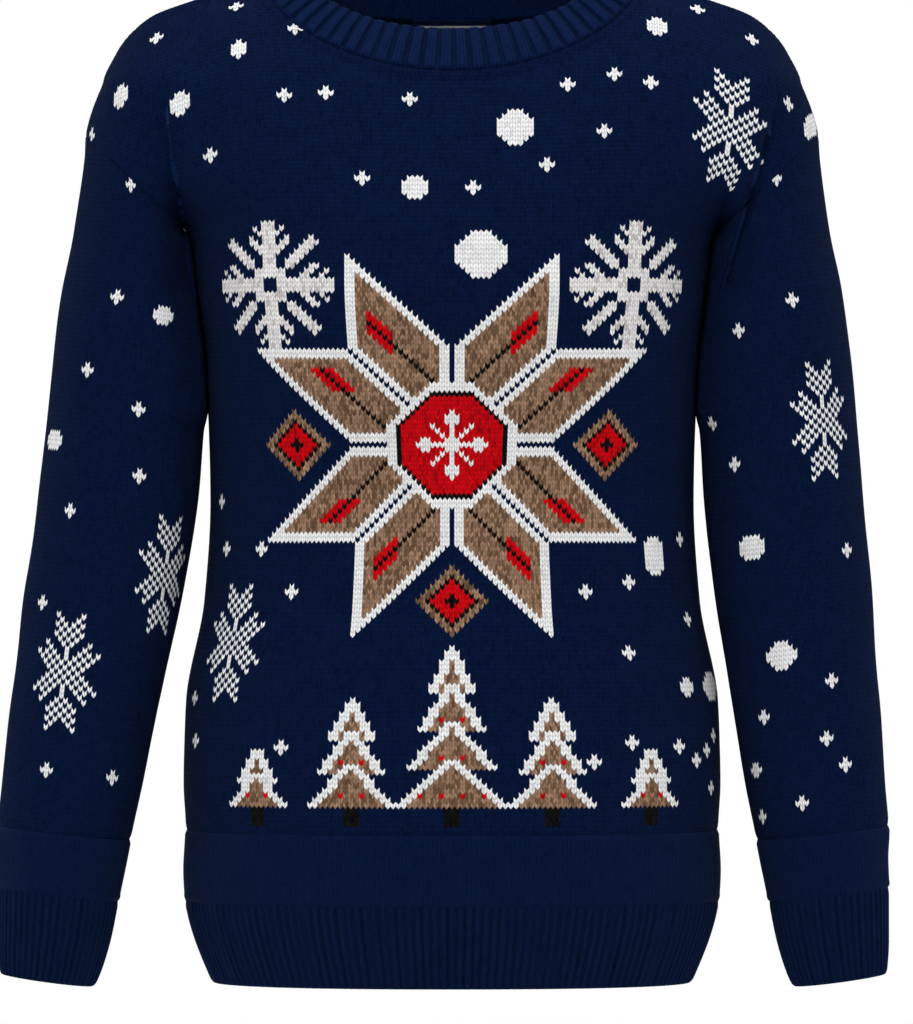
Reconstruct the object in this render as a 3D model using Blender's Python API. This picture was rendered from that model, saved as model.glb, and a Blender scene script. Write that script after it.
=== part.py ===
"""Christmas pullover in its worn shape: a hollow knitted garment with ribbed bands.

Frame: +Z up, the front faces -Y and +X is on the viewer's right. The origin is the middle of
the neck, level with the tops of the shoulder seams. Sizes are in millimetres and become metres
where the meshes are made. Every piece is a wall of cloth: rings or rows of points on its
outside, the same rows moved in by the wall on its inside, and edges that close it.
"""

import bmesh
import bpy
import numpy as np

MM = 0.001
GARMENT = "christmas_pullover"

# Driving sizes, in millimetres.
BODY_WALL = 2.4
BAND_WALL = 2.6
NECK_WALL = 3.0
SEAM_GAP = 0.3
UNDERARM_Z = -162.0
SHOULDER_POINT_Z = -100.0
HEM_SEAM_Z = -550.0
NECK_HALF_WIDTH = 121.5
CUFF_SEAM_Z = -556.0
ARM_CLEARANCE = 1.5
SLEEVE_LEAN = -5.5
SLEEVE_LEAN_FROM = -276.0

# How evenly rows of points follow each other: a power over 1 crowds them at their start.
SLEEVE_CROWDING = 1.35
SHOULDER_CROWDING = 1.5
SETTLE_ROWS = 6

# Ribs: how high a ridge stands over its furrow, and how many ridges a piece has.
BAND_RIB_HEIGHT = 1.2
NECK_RIB_HEIGHT = 2.0
HEM_RIBS_EACH_QUARTER = 42
CUFF_RIBS = 48
NECK_POINTS_EACH_STEP = 11
NECK_POINTS_EACH_RIB = 4

# How finely the pieces are divided.
FINE = 400
NECK_STEPS = 6
SHOULDER_STEPS = 6
BODY_STEPS = NECK_STEPS + SHOULDER_STEPS
LOWER_ROWS = 10
UPPER_ROWS = 12
ARMPIT_ROWS = 3
SLEEVE_ROWS = 18
HEM_STEPS_EACH_QUARTER = 14

NAVY = (0.008, 0.017, 0.062, 1.0)
RIB_NAVY = (0.008, 0.019, 0.080, 1.0)
LABEL_NAVY = (0.006, 0.010, 0.035, 1.0)
KNIT_ROUGHNESS = 0.9
RIB_ROUGHNESS = 0.92
LABEL_ROUGHNESS = 0.6
SHARP_ANGLE = 50.0
ON_SEAM = 1e-6


def monotone_slopes(key, values):
    """Slopes of a curve that passes through the values and swings past none of them."""
    step = np.diff(key)
    rise = np.diff(values) / step
    slopes = np.zeros_like(values)
    slopes[0], slopes[-1] = rise[0], rise[-1]
    near, far = 2 * step[1:] + step[:-1], step[1:] + 2 * step[:-1]
    turning = rise[:-1] * rise[1:] <= 0
    before = np.where(turning, 1.0, rise[:-1])
    after = np.where(turning, 1.0, rise[1:])
    slopes[1:-1] = np.where(turning, 0.0, (near + far) / (near / before + far / after))
    return slopes


class Table:
    """Rows under named columns, read between rows by a monotone cubic along the first column."""

    def __init__(self, columns, *rows):
        values = np.array(sorted(rows), float)
        self.key = values[:, 0]
        self.values = dict(zip(columns, values.T))
        self.slopes = {name: monotone_slopes(self.key, column) for name, column in self.values.items()}

    def at(self, name, key):
        """The named column's value at a key or at an array of keys."""
        key = np.clip(key, self.key[0], self.key[-1])
        i = np.clip(np.searchsorted(self.key, key) - 1, 0, len(self.key) - 2)
        width = self.key[i + 1] - self.key[i]
        t = (key - self.key[i]) / width
        low, high = self.values[name][i], self.values[name][i + 1]
        rise_low, rise_high = self.slopes[name][i] * width, self.slopes[name][i + 1] * width
        return (
            low * (1 + 2 * t) * (1 - t) ** 2
            + rise_low * t * (1 - t) ** 2
            + high * t**2 * (3 - 2 * t)
            - rise_high * t**2 * (1 - t)
        )


# The body: half width from side seam to centre, depth in front and behind, and how square.
TORSO = Table(
    ("z", "half_width", "front", "back", "power"),
    (-648.5, 155.5, 103, 97, 2.3),
    (-632, 162.5, 107, 100, 2.3),
    (-620, 167, 110, 103, 2.3),
    (-606, 171, 113, 106, 2.3),
    (-598, 172.5, 114, 107, 2.3),
    (-575, 174, 115.5, 108.5, 2.3),
    (-550, 173, 116, 109, 2.3),
    (-520, 174.5, 116, 110, 2.3),
    (-465, 172.5, 112, 104, 2.3),
    (-401, 161, 103, 90, 2.3),
    (-336, 157, 98, 80, 2.3),
    (-254, 159.5, 116, 90, 2.3),
    (-206, 165, 122, 97, 2.3),
    (-162, 172, 115, 100, 2.3),
    (-129, 198, 105, 96, 2.3),
    (-96, 219, 94, 91, 2.25),
    (-67, 227, 82, 85, 2.2),
    (-47, 219, 71, 80, 2.1),
    (-35, 211, 63, 76, 2.0),
    (-23, 196, 55, 70, 1.85),
    (-11, 165, 46, 63, 1.7),
    (-4, 141, 42, 60, 1.55),
    (0, 121.5, 40, 56, 1.5),
)

# The root of the arm above the underarm, and how softly it runs into the chest.
ARM_ROOT = Table(
    ("z", "centre", "half_width", "depth", "blend"),
    (-162, 208, 36, 60, 2),
    (-129, 196, 45, 60, 14),
    (-96, 190, 47.5, 57, 26),
    (-67, 184, 43.5, 47, 34),
    (-47, 176, 40, 30, 30),
    (-35, 170, 35, 15, 20),
)

# The sleeve's two edges as seen from the front.
SLEEVE_EDGES = Table(
    ("z", "inner", "outer"),
    (-652, 227, 283),
    (-643.5, 223, 286.4),
    (-621, 216, 288),
    (-591, 210, 288),
    (-568, 205, 287.5),
    (-550.5, 201.5, 288.5),
    (-520.6, 195.2, 286),
    (-480, 187.9, 283.5),
    (-445, 181.4, 279.4),
    (-401, 173, 275),
    (-336, 164, 268),
    (-290, 160.5, 263.5),
    (-238.5, 150, 258.5),
    (-200, 150, 253.4),
    (-162, 150, 245.5),
    (-131, 150, 241),
    (-100, 150, 237.6),
)

# The sleeve's sections: where each meets the two edges, its half depth and its middle.
SLEEVE = Table(
    ("z_inner", "z_outer", "depth", "middle"),
    (-651, -643, 31, -22),
    (-632, -623.5, 34, -21.5),
    (-597, -588, 39, -21),
    (-556, -546.5, 42, -20),
    (-525, -516, 44, -18.5),
    (-485, -476, 45.5, -16.5),
    (-450, -441, 47, -14.5),
    (-405, -395.5, 49, -11.5),
    (-340, -330, 52, -7.5),
    (-276, -265, 55, -4),
    (-243, -226, 56.5, -2.5),
    (-206, -178, 58, -1),
    (-178, -131, 59.5, 0),
    (-162, -100, 60, 0),
)

# The neck opening's lower edge, at the seam, and the band's upper edge.
NECK_SEAM = {"front": (-60.2, 1.25), "back": (-18.0, 1.25)}
NECK_TOP_HALF_WIDTH = 98.0
NECK_TOP_SIDE_Z = 20.0
NECK_TOP = {"front": (-60.0, -32.4, 0.9), "back": (47.0, 9.0, 1.0)}
NECK_TOP_SIDE_Y = -4.0

# Rows down a hem band or cuff: z along the hem or the cuff's inner edge, how far the cloth
# stands out there, and how much of the rib's height it has.
HEM_ROWS = (
    (HEM_SEAM_Z - SEAM_GAP / 2, 0.0, None),
    (-575.0, 0.3, None),
    (-596.0, 0.9, None),
    (-600.0, 0.2, 0.7),
    (-622.0, 0.0, 1.0),
    (-644.5, 0.0, 1.0),
    (-648.5, -1.2, 0.4),
)
CUFF_ROWS = (
    (CUFF_SEAM_Z - SEAM_GAP / 2, 0.0, None),
    (-576.0, 0.3, None),
    (-596.0, 0.8, None),
    (-600.0, 0.2, 0.7),
    (-623.0, 0.0, 1.0),
    (-646.5, 0.0, 1.0),
    (-650.5, -1.2, 0.4),
)
# Rows up the neckband: share of its height, how far it stands out, share of the rib's height.
NECK_ROWS = (
    (0.09, 0.2, 0.8),
    (0.5, 1.4, 1.0),
    (0.92, 0.6, 1.0),
    (1.0, -0.9, 0.35),
)

# The woven label inside the back of the neck.
LABEL_WIDTH = 52.0
LABEL_HEIGHT = 30.0
LABEL_TOP_Z = -20.5
LABEL_THICKNESS = 1.0
LABEL_CLEARANCE = 0.8
LABEL_STEPS = (6, 3)


def facing(side):
    """-1 for the front, which faces -Y, and 1 for the back."""
    return -1.0 if side == "front" else 1.0


def even_steps(points, count):
    """count + 1 points at equal distances along a fine line of points."""
    length = np.concatenate([[0], np.cumsum(np.linalg.norm(np.diff(points, axis=0), axis=1))])
    even = np.linspace(0, length[-1], count + 1)
    return np.stack([np.interp(even, length, axis) for axis in points.T], axis=1)


def lobe(x, half_width, depth, power):
    """Depth of a rounded section at x."""
    return depth * np.clip(1 - (np.abs(x) / half_width) ** power, 0, 1) ** (1 / power)


def depth_at(x, z, side):
    """How far the cloth stands from the plane of the shoulders, in front or behind."""
    torso = lobe(x, TORSO.at("half_width", z), TORSO.at(side, z), TORSO.at("power", z))
    from_arm = np.abs(x) - ARM_ROOT.at("centre", z)
    arm = lobe(from_arm, ARM_ROOT.at("half_width", z), ARM_ROOT.at("depth", z), 2.0)
    arm = np.where(z > UNDERARM_Z, arm, 0.0)
    blend = ARM_ROOT.at("blend", z)
    soft = np.clip(blend - np.abs(torso - arm), 0, None) ** 2 / (4 * blend)
    return np.maximum(torso, arm) + soft * np.clip(np.minimum(torso, arm) / blend, 0, 1)


def outer_edge(z):
    """Half width of the body with its arms, above the underarm."""
    arm = ARM_ROOT.at("centre", z) + ARM_ROOT.at("half_width", z)
    return np.maximum(TORSO.at("half_width", z), np.where(z < ARM_ROOT.key[-1], arm, 0.0))


def quarter_section(z, side, count):
    """Points round the body at one level, from the centre to the side seam."""
    turn = np.linspace(0, np.pi / 2, FINE)
    share = 2 / TORSO.at("power", z)
    x = TORSO.at("half_width", z) * np.sin(turn) ** share
    y = TORSO.at(side, z) * np.clip(np.cos(turn), 0, 1) ** share
    return even_steps(np.stack([x, facing(side) * y, np.full(FINE, z)], axis=1), count)


def neckline(side, turn):
    """Points on the neck seam, with turn running from the centre, 0, to the shoulder, pi / 2."""
    low, power = NECK_SEAM[side]
    x = NECK_HALF_WIDTH * np.sin(turn)
    z = low * np.clip(np.cos(turn), 0, 1) ** power
    return np.stack([x, facing(side) * depth_at(x, z, side), z], axis=-1)


def neck_turns(side):
    """The turns at which the neck seam's points lie at equal distances."""
    turn = np.linspace(0, np.pi / 2, FINE)
    line = neckline(side, turn)
    length = np.concatenate([[0], np.cumsum(np.linalg.norm(np.diff(line, axis=0), axis=1))])
    return np.interp(np.linspace(0, length[-1], NECK_STEPS + 1), length, turn)


def top_boundary(side):
    """Points along the neck seam and then the shoulder seam, from the centre to the armhole."""
    z = SHOULDER_POINT_Z * np.linspace(0, 1, FINE) ** SHOULDER_CROWDING
    shoulder = even_steps(np.stack([outer_edge(z), np.zeros(FINE), z], axis=1), SHOULDER_STEPS)
    shoulder[:, 0] = outer_edge(shoulder[:, 2])
    return np.concatenate([neckline(side, neck_turns(side)), shoulder[1:]])


def upper_column(start, end, side):
    """Points up the body along one line of stitches, from underarm level to its top edge."""
    t = (1 - np.cos(np.linspace(0, np.pi, FINE))) / 2
    x = start[0] + (end[0] - start[0]) * t
    z = start[2] + (end[2] - start[2]) * t
    return even_steps(np.stack([x, facing(side) * depth_at(x, z, side), z], axis=1), UPPER_ROWS)


def unit(vectors):
    """The same directions at length 1."""
    return vectors / np.linalg.norm(vectors, axis=-1, keepdims=True)


def body_rows(side):
    """The outside and inside points of the front or back, row by row from the hem seam up."""
    levels = np.linspace(HEM_SEAM_Z, UNDERARM_Z, LOWER_ROWS + 1)
    lower = np.array([quarter_section(z, side, BODY_STEPS) for z in levels])
    columns = [upper_column(start, end, side) for start, end in zip(lower[-1], top_boundary(side))]
    half = np.concatenate([lower, np.array(columns).transpose(1, 0, 2)[1:]])
    half[-1, NECK_STEPS:, 1] = 0
    half[: LOWER_ROWS + 1, -1, 1] = 0
    outer = np.concatenate([half[:, :0:-1] * (-1, 1, 1), half], axis=1)

    normal = np.concatenate([
        outward(outer[: LOWER_ROWS + 1], side),
        outward(outer[LOWER_ROWS:], side)[1:],
    ])
    normal[: LOWER_ROWS + 1, (0, -1), 1] = 0
    at_shoulder = np.abs(np.arange(-BODY_STEPS, BODY_STEPS + 1)) >= NECK_STEPS
    normal[-1, at_shoulder, 1] = 0
    ring_normal = -ring_inward(outer[LOWER_ROWS:, -1], side)
    normal[LOWER_ROWS:, -1] = ring_normal
    normal[LOWER_ROWS:, 0] = ring_normal * (-1, 1, 1)
    for column, edge in ((1, 0), (-2, -1)):
        for row in range(LOWER_ROWS + 1, LOWER_ROWS + ARMPIT_ROWS + 1):
            beside = normal[row, column + (1 if column > 0 else -1)]
            normal[row, column] = unit(normal[row - 1, column] + normal[row, edge] + beside)
    return outer, outer - BODY_WALL * unit(normal)


def outward(rows, side):
    """The way out of the cloth at each point of a grid of rows."""
    normal = np.cross(np.gradient(rows, axis=1), np.gradient(rows, axis=0))
    return unit(normal) * (1 if side == "front" else -1)


def ring_inward(ring, side):
    """The way into the wall round the armhole: up at the underarm, in at the shoulder point."""
    reach = unit(ring[-1] - ring[0])
    across = (ring - ring[0]) @ reach
    tangent = unit(np.gradient(np.stack([across, np.abs(ring[:, 1])], axis=1), axis=0))
    tangent[0], tangent[-1] = (0, 1), (0, -1)
    up_share, down_share = np.clip(tangent[:, 1:], 0, 1), np.clip(-tangent[:, 1:], 0, 1)
    shoulder_line = np.array([outer_edge(z) for z in (SHOULDER_POINT_Z - 1, SHOULDER_POINT_Z + 1)])
    into_shoulder = unit(np.array([-2.0, 0.0, shoulder_line[1] - shoulder_line[0]]))
    y_share = -facing(side) * tangent[:, :1]
    return unit(up_share * (0, 0, 1) + down_share * into_shoulder + y_share * (0, 1, 0))


def across_seam(edge, inside, towards):
    """The way across a seam at each point of an edge that starts and ends square to the sides."""
    tangent = np.gradient(edge, axis=0)
    tangent[[0, -1]] *= (0, 1, 0)
    away = unit(np.cross(tangent, inside - edge))
    return away * np.sign((away * towards).sum(axis=1, keepdims=True))


def armhole(outer, inner):
    """The ring's outside and inside points on one panel, and the way from panel to sleeve."""
    ring, inside = outer[LOWER_ROWS:, -1], inner[LOWER_ROWS:, -1]
    return ring, inside, across_seam(ring, inside, (1, 0, -1))


def neck_edge(outer, inner):
    """The neck edge's outside and inside points on one panel, and the way up into the band."""
    neck = slice(BODY_STEPS - NECK_STEPS, BODY_STEPS + NECK_STEPS + 1)
    edge, inside = outer[-1, neck], inner[-1, neck]
    upwards = unit(-edge * (1, 1, 0)) + (0, 0, 1)
    return edge, inside, across_seam(edge, inside, upwards)


def build_mesh(name, points, faces, colour, roughness):
    """One closed object from points in millimetres, faces turned out, in its own colour."""
    mesh = bpy.data.meshes.new(name)
    mesh.from_pydata((np.asarray(points) * MM).tolist(), [], faces)
    work = bmesh.new()
    work.from_mesh(mesh)
    bmesh.ops.triangulate(work, faces=work.faces, quad_method="SHORT_EDGE")
    bmesh.ops.recalc_face_normals(work, faces=work.faces)
    work.to_mesh(mesh)
    work.free()
    mesh.shade_smooth()
    mesh.set_sharp_from_angle(angle=np.radians(SHARP_ANGLE))
    material = bpy.data.materials.new(name)
    material.use_nodes = True
    shader = material.node_tree.nodes["Principled BSDF"]
    shader.inputs["Base Color"].default_value = colour
    shader.inputs["Roughness"].default_value = roughness
    shader.inputs["Metallic"].default_value = 0.0
    material.diffuse_color = colour
    mesh.materials.append(material)
    piece = bpy.data.objects.new(name, mesh)
    bpy.data.collections[GARMENT].objects.link(piece)
    return piece


def bridge(first, second, closed):
    """Faces between two rows of point numbers, whose counts may differ."""
    if closed:
        first, second = list(first) + [first[0]], list(second) + [second[0]]
    if len(first) == len(second):
        return [(first[i], first[i + 1], second[i + 1], second[i]) for i in range(len(first) - 1)]
    faces, i, j = [], 0, 0
    last_i, last_j = len(first) - 1, len(second) - 1
    while i < last_i or j < last_j:
        step_first = j == last_j or (i < last_i and (i + 0.5) / last_i <= (j + 0.5) / last_j)
        if step_first:
            faces.append((first[i], first[i + 1], second[j]))
            i += 1
        else:
            faces.append((first[i], second[j + 1], second[j]))
            j += 1
    return faces


def wall(name, outer_rows, inner_rows, closed, colour, roughness):
    """A wall of cloth between rows of outside points and as many rows of inside points."""
    loop = list(outer_rows) + list(inner_rows)[::-1]
    starts = np.cumsum([0] + [len(row) for row in loop])
    numbers = [list(range(a, b)) for a, b in zip(starts[:-1], starts[1:])]
    faces = []
    for row, following in zip(numbers, numbers[1:] + numbers[:1]):
        faces += bridge(row, following, closed)
    if not closed:
        outside, inside = numbers[: len(outer_rows)], numbers[len(outer_rows):][::-1]
        for end in (0, -1):
            for k in range(len(outside) - 1):
                corners = (outside[k][end], outside[k + 1][end], inside[k + 1][end], inside[k][end])
                faces.append(corners)
    return build_mesh(name, np.concatenate(loop), faces, colour, roughness)


def rib_pattern(count, points_each):
    """-0.5 in the furrows and 0.5 on the ridges, for count ribs of a number of points each."""
    one = np.where(np.arange(points_each) < points_each / 2, 0.5, -0.5)
    return np.tile(one, count)


def make_panel(side):
    """The front or the back: one knitted panel from the hem seam to neck, shoulders and armholes."""
    outer, inner = body_rows(side)
    half_gap = SEAM_GAP / 2
    into_sleeve = armhole(outer, inner)[2]
    into_band = neck_edge(outer, inner)[2]
    seam_line = np.abs(outer[..., 1]) < ON_SEAM
    shaped = []
    for rows in (outer.copy(), inner.copy()):
        rows[LOWER_ROWS:, -1] -= half_gap * into_sleeve
        rows[LOWER_ROWS:, 0] -= half_gap * into_sleeve * (-1, 1, 1)
        neck = slice(BODY_STEPS - NECK_STEPS, BODY_STEPS + NECK_STEPS + 1)
        rows[-1, neck] -= half_gap * into_band
        rows[0, :, 2] = HEM_SEAM_Z + half_gap
        rows[..., 1] = np.where(seam_line, facing(side) * half_gap, rows[..., 1])
        shaped.append(rows)
    return wall(side, shaped[0], shaped[1], False, NAVY, KNIT_ROUGHNESS)


def sleeve_section(z_inner, count, side_sign, shape=None):
    """A closed ring of points round the sleeve, and the ring's way out at each of them."""
    z_outer = SLEEVE.at("z_outer", z_inner)
    inner_x = max(TORSO.at("half_width", z_inner) + ARM_CLEARANCE, SLEEVE_EDGES.at("inner", z_inner))
    outer_x = SLEEVE_EDGES.at("outer", z_outer)
    low, high = np.array([inner_x, 0, z_inner]), np.array([outer_x, 0, z_outer])
    centre, reach = (low + high) / 2, (high - low) / 2
    centre[1] = SLEEVE.at("middle", z_inner)
    depth = SLEEVE.at("depth", z_inner)
    if shape is None:
        turn = np.linspace(0, 2 * np.pi, 4 * FINE + 1)
        fine = -np.cos(turn)[:, None] * reach + depth * np.sin(turn)[:, None] * (0, -1, 0)
        ring = even_steps(fine, count)[:-1]
    else:
        ring = shape[:, :1] * reach + depth * shape[:, 1:] * (0, 1, 0)
    lean = np.clip((SLEEVE_LEAN_FROM - z_inner) / (SLEEVE_LEAN_FROM - CUFF_SEAM_Z), 0, 1)
    centre = centre * (side_sign, 1, 1) + (SLEEVE_LEAN * lean**2 * (3 - 2 * lean), 0, 0)
    ring = ring * (side_sign, 1, 1)
    tangent = np.roll(ring, -1, axis=0) - np.roll(ring, 1, axis=0)
    plane = np.cross(reach * (side_sign, 1, 1), (0, 1, 0))
    out = unit(np.cross(tangent, plane))
    out *= np.sign((out * ring).sum(axis=1, keepdims=True))
    return centre + ring, out


def make_sleeve(name, side_sign):
    """A sleeve: one tube from the armhole ring, which both panels give it, to the cuff seam."""
    halves = []
    for side in ("front", "back"):
        ring, inside, away = armhole(*body_rows(side))
        halves.append((ring + SEAM_GAP / 2 * away, inside + SEAM_GAP / 2 * away, ring))
    joined = [np.concatenate([front, back[-2:0:-1]]) for front, back in zip(*halves)]
    mirror = (side_sign, 1, 1)
    ring = joined[2]
    low, high = ring[0], ring[UPPER_ROWS]
    reach = (high - low) / 2
    across = ((ring - (low + high) / 2) @ reach) / (reach @ reach)
    start_shape = np.stack([across, ring[:, 1] / SLEEVE.at("depth", UNDERARM_Z)], axis=1)
    count = len(ring)
    turn = 2 * np.pi * np.arange(count) / count
    round_shape = np.stack([-np.cos(turn), -np.sin(turn)], axis=1)

    outer_rows, inner_rows = [joined[0] * mirror], [joined[1] * mirror]
    for k in range(1, SLEEVE_ROWS + 1):
        share = (k / SLEEVE_ROWS) ** SLEEVE_CROWDING
        z_inner = UNDERARM_Z + (CUFF_SEAM_Z + SEAM_GAP / 2 - UNDERARM_Z) * share
        settle = np.clip(k / SETTLE_ROWS, 0, 1)
        shape = start_shape + (round_shape - start_shape) * settle**2 * (3 - 2 * settle)
        points, out = sleeve_section(z_inner, count, side_sign, shape)
        outer_rows.append(points)
        inner_rows.append(points - BODY_WALL * out)
    return wall(name, outer_rows, inner_rows, True, NAVY, KNIT_ROUGHNESS)


def make_cuff(name, side_sign):
    """A ribbed cuff: a plain folded part above a ridge and ribs below it."""
    coarse = 2 * UPPER_ROWS
    ribs = rib_pattern(CUFF_RIBS, 2)
    outer_rows, inner_rows = [], []
    for z_inner, proud, rib in CUFF_ROWS:
        points, out = sleeve_section(z_inner, coarse, side_sign)
        inner_rows.append(points - BAND_WALL * out)
        if rib is None:
            outer_rows.append(points + proud * out)
        else:
            fine, fine_out = sleeve_section(z_inner, len(ribs), side_sign)
            lift = proud + BAND_RIB_HEIGHT * rib * ribs
            outer_rows.append(fine + lift[:, None] * fine_out)
    return wall(name, outer_rows, inner_rows, True, RIB_NAVY, RIB_ROUGHNESS)


def hem_section(z, side, steps_each_quarter):
    """Points and their way out along one half of the hem, from seam to seam."""
    quarter = quarter_section(z, side, steps_each_quarter)
    points = np.concatenate([quarter[:0:-1] * (-1, 1, 1), quarter])
    out = np.gradient(points, axis=0)[:, [1, 0, 2]] * (1, -1, 0)
    out[[0, -1]] *= (1, 0, 0)
    out = unit(out)
    out *= np.sign((out * points).sum(axis=1, keepdims=True))
    return points, out


def make_hem_band(name, side):
    """Half of the ribbed hem band, between the side seams."""
    ribs = np.append(rib_pattern(2 * HEM_RIBS_EACH_QUARTER, 2), 0.5)
    outer_rows, inner_rows = [], []
    for z, proud, rib in HEM_ROWS:
        points, out = hem_section(z, side, HEM_STEPS_EACH_QUARTER)
        inner_rows.append(points - BAND_WALL * out)
        if rib is None:
            outer_rows.append(points + proud * out)
        else:
            fine, fine_out = hem_section(z, side, 2 * HEM_RIBS_EACH_QUARTER)
            lift = proud + BAND_RIB_HEIGHT * rib * ribs
            outer_rows.append(fine + lift[:, None] * fine_out)
    for rows in (outer_rows, inner_rows):
        for row in rows:
            row[[0, -1], 1] = facing(side) * SEAM_GAP / 2
    return wall(name, outer_rows, inner_rows, False, RIB_NAVY, RIB_ROUGHNESS)


def neck_top(side, turn):
    """Points on the neckband's upper edge."""
    y_middle, z_middle, power = NECK_TOP[side]
    share = np.clip(np.cos(turn), 0, 1)
    x = NECK_TOP_HALF_WIDTH * np.sin(turn)
    y = NECK_TOP_SIDE_Y + (y_middle - NECK_TOP_SIDE_Y) * share
    z = NECK_TOP_SIDE_Z + (z_middle - NECK_TOP_SIDE_Z) * share**power
    return np.stack([x, y, z], axis=-1)


def around_neck(quarters):
    """A closed ring from a front and a back quarter, which both run from centre to shoulder."""
    front, back = quarters
    right = np.concatenate([front, back[-2::-1]])
    return np.concatenate([right, right[-2:0:-1] * (-1, 1, 1)])


def band_ring(seam, top, share):
    """Points round the neckband at one share of its height, and the way out at each of them."""
    points = seam + (top - seam) * share
    tangent = np.roll(seam, -1, axis=0) - np.roll(seam, 1, axis=0)
    out = unit(np.cross(tangent, top - seam))
    outwards = unit(points * (1, 1, 0)) + (0, 0, 1)
    return points, out * np.sign((out * outwards).sum(axis=1, keepdims=True))


def make_neckband():
    """The ribbed neckband: seamed to the panels' neck edges point for point, ribs above.

    A furrow, not a ridge, lies at the centre front.
    """
    edges, insides, seams, tops = [], [], [], []
    for side in ("front", "back"):
        edge, inside, into_band = neck_edge(*body_rows(side))
        edges.append((edge + SEAM_GAP / 2 * into_band)[NECK_STEPS:])
        insides.append((inside + SEAM_GAP / 2 * into_band)[NECK_STEPS:])
        steps = np.arange(NECK_STEPS * NECK_POINTS_EACH_STEP + 1) / NECK_POINTS_EACH_STEP
        turns = np.interp(steps, np.arange(NECK_STEPS + 1), neck_turns(side))
        seams.append(neckline(side, turns))
        tops.append(neck_top(side, turns))
    seam, top = around_neck(seams), around_neck(tops)
    ribs = -rib_pattern(len(seam) // NECK_POINTS_EACH_RIB, NECK_POINTS_EACH_RIB)
    outer_rows, inner_rows = [around_neck(edges)], [around_neck(insides)]
    for share, proud, rib in NECK_ROWS:
        points, out = band_ring(seam, top, share)
        lift = proud + NECK_RIB_HEIGHT * rib * ribs
        outer_rows.append(points + lift[:, None] * out)
        inner_rows.append((points - NECK_WALL * out)[::NECK_POINTS_EACH_RIB])
    return wall("neckband", outer_rows, inner_rows, True, RIB_NAVY, RIB_ROUGHNESS)


def make_label():
    """The label sewn inside the back, just under the neckband."""
    across, down = LABEL_STEPS
    rows = []
    for z in np.linspace(LABEL_TOP_Z - LABEL_HEIGHT, LABEL_TOP_Z, down + 1):
        x = np.linspace(-LABEL_WIDTH / 2, LABEL_WIDTH / 2, across + 1)
        y = depth_at(x, z, "back") - BODY_WALL - LABEL_CLEARANCE
        rows.append(np.stack([x, y, np.full_like(x, z)], axis=1))
    front_rows = [row - (0, LABEL_THICKNESS, 0) for row in rows]
    return wall("neck_label", rows, front_rows, False, LABEL_NAVY, LABEL_ROUGHNESS)


def main():
    """Clears the scene and makes every piece in its own collection."""
    for obj in list(bpy.data.objects):
        bpy.data.objects.remove(obj)
    collection = bpy.data.collections.new(GARMENT)
    bpy.context.scene.collection.children.link(collection)
    make_panel("front")
    make_panel("back")
    make_sleeve("left_sleeve", -1)
    make_sleeve("right_sleeve", 1)
    make_cuff("left_cuff", -1)
    make_cuff("right_cuff", 1)
    make_hem_band("hem_band_front", "front")
    make_hem_band("hem_band_back", "back")
    make_neckband()
    make_label()


main()
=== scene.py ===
"""Dresses the christmas pullover: knitted shells, ribbed bands, charted motifs and a studio.

Frame: +Z up, the front faces -Y, +X is on the viewer's right and the origin is the middle of the
neck. Sizes are in millimetres and become metres where the meshes are made. The knitted panels
are built stitch by stitch: wales run up the cloth, courses run round it, and every stitch is two
leaning legs of yarn, each with its own colour.
"""

import logging
from dataclasses import dataclass, field
from enum import Enum
from itertools import product

import bpy
import numpy as np
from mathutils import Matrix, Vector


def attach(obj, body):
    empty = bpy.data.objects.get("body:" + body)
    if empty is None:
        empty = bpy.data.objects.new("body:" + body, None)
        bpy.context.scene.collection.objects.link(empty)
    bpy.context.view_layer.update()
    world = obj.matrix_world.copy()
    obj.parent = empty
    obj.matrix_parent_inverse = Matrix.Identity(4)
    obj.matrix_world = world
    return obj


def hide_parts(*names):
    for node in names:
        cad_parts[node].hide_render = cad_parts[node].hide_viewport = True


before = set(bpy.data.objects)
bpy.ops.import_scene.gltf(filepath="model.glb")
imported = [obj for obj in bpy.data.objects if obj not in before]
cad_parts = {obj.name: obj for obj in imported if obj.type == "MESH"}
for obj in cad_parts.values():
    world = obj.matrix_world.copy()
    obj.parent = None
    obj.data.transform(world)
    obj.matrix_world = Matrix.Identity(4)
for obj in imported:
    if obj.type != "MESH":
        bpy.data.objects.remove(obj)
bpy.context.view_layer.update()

LOG = logging.getLogger("pullover")
MM = 0.001
BODY = "root"
TINY = 1e-9
EDGE_SLACK = 1e-6

# Gauge of a sleeve: one stitch is this wide and one course this high. A stitch's legs lean over
# this share of a course.
STITCH = 3.0
COURSE = 3.05
LEAN = 0.6
SEED = 1225

Array = np.ndarray
Rng = np.random.Generator
Object = bpy.types.Object
Material = bpy.types.Material
Tree = bpy.types.NodeTree
Socket = bpy.types.NodeSocket


class Side(Enum):
    """The two halves of the garment, with the way that each one faces along Y."""

    FRONT = -1.0
    BACK = 1.0

    @property
    def label(self) -> str:
        """The column of the size tables that belongs to this side."""
        return self.name.lower()


class Yarn(Enum):
    """The yarns of the jacquard, by their number in a chart."""

    NAVY = 0
    WHITE = 1
    GREY = 2
    BROWN = 3
    RED = 4
    BLACK = 5
    REVERSE = 6
    RIB = 7
    LABEL = 8
    LABEL_LINE = 9


Stamp = dict[tuple[int, int], Yarn]


@dataclass(frozen=True)
class Dye:
    """How a yarn's colour varies from leg to leg of its stitches.

    The main colour is linear RGB. A share of the legs takes the fleck colour instead, and all
    legs vary in brightness by the spread.
    """

    main: tuple[float, float, float]
    fleck: tuple[float, float, float]
    fleck_share: float
    spread: float


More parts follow.
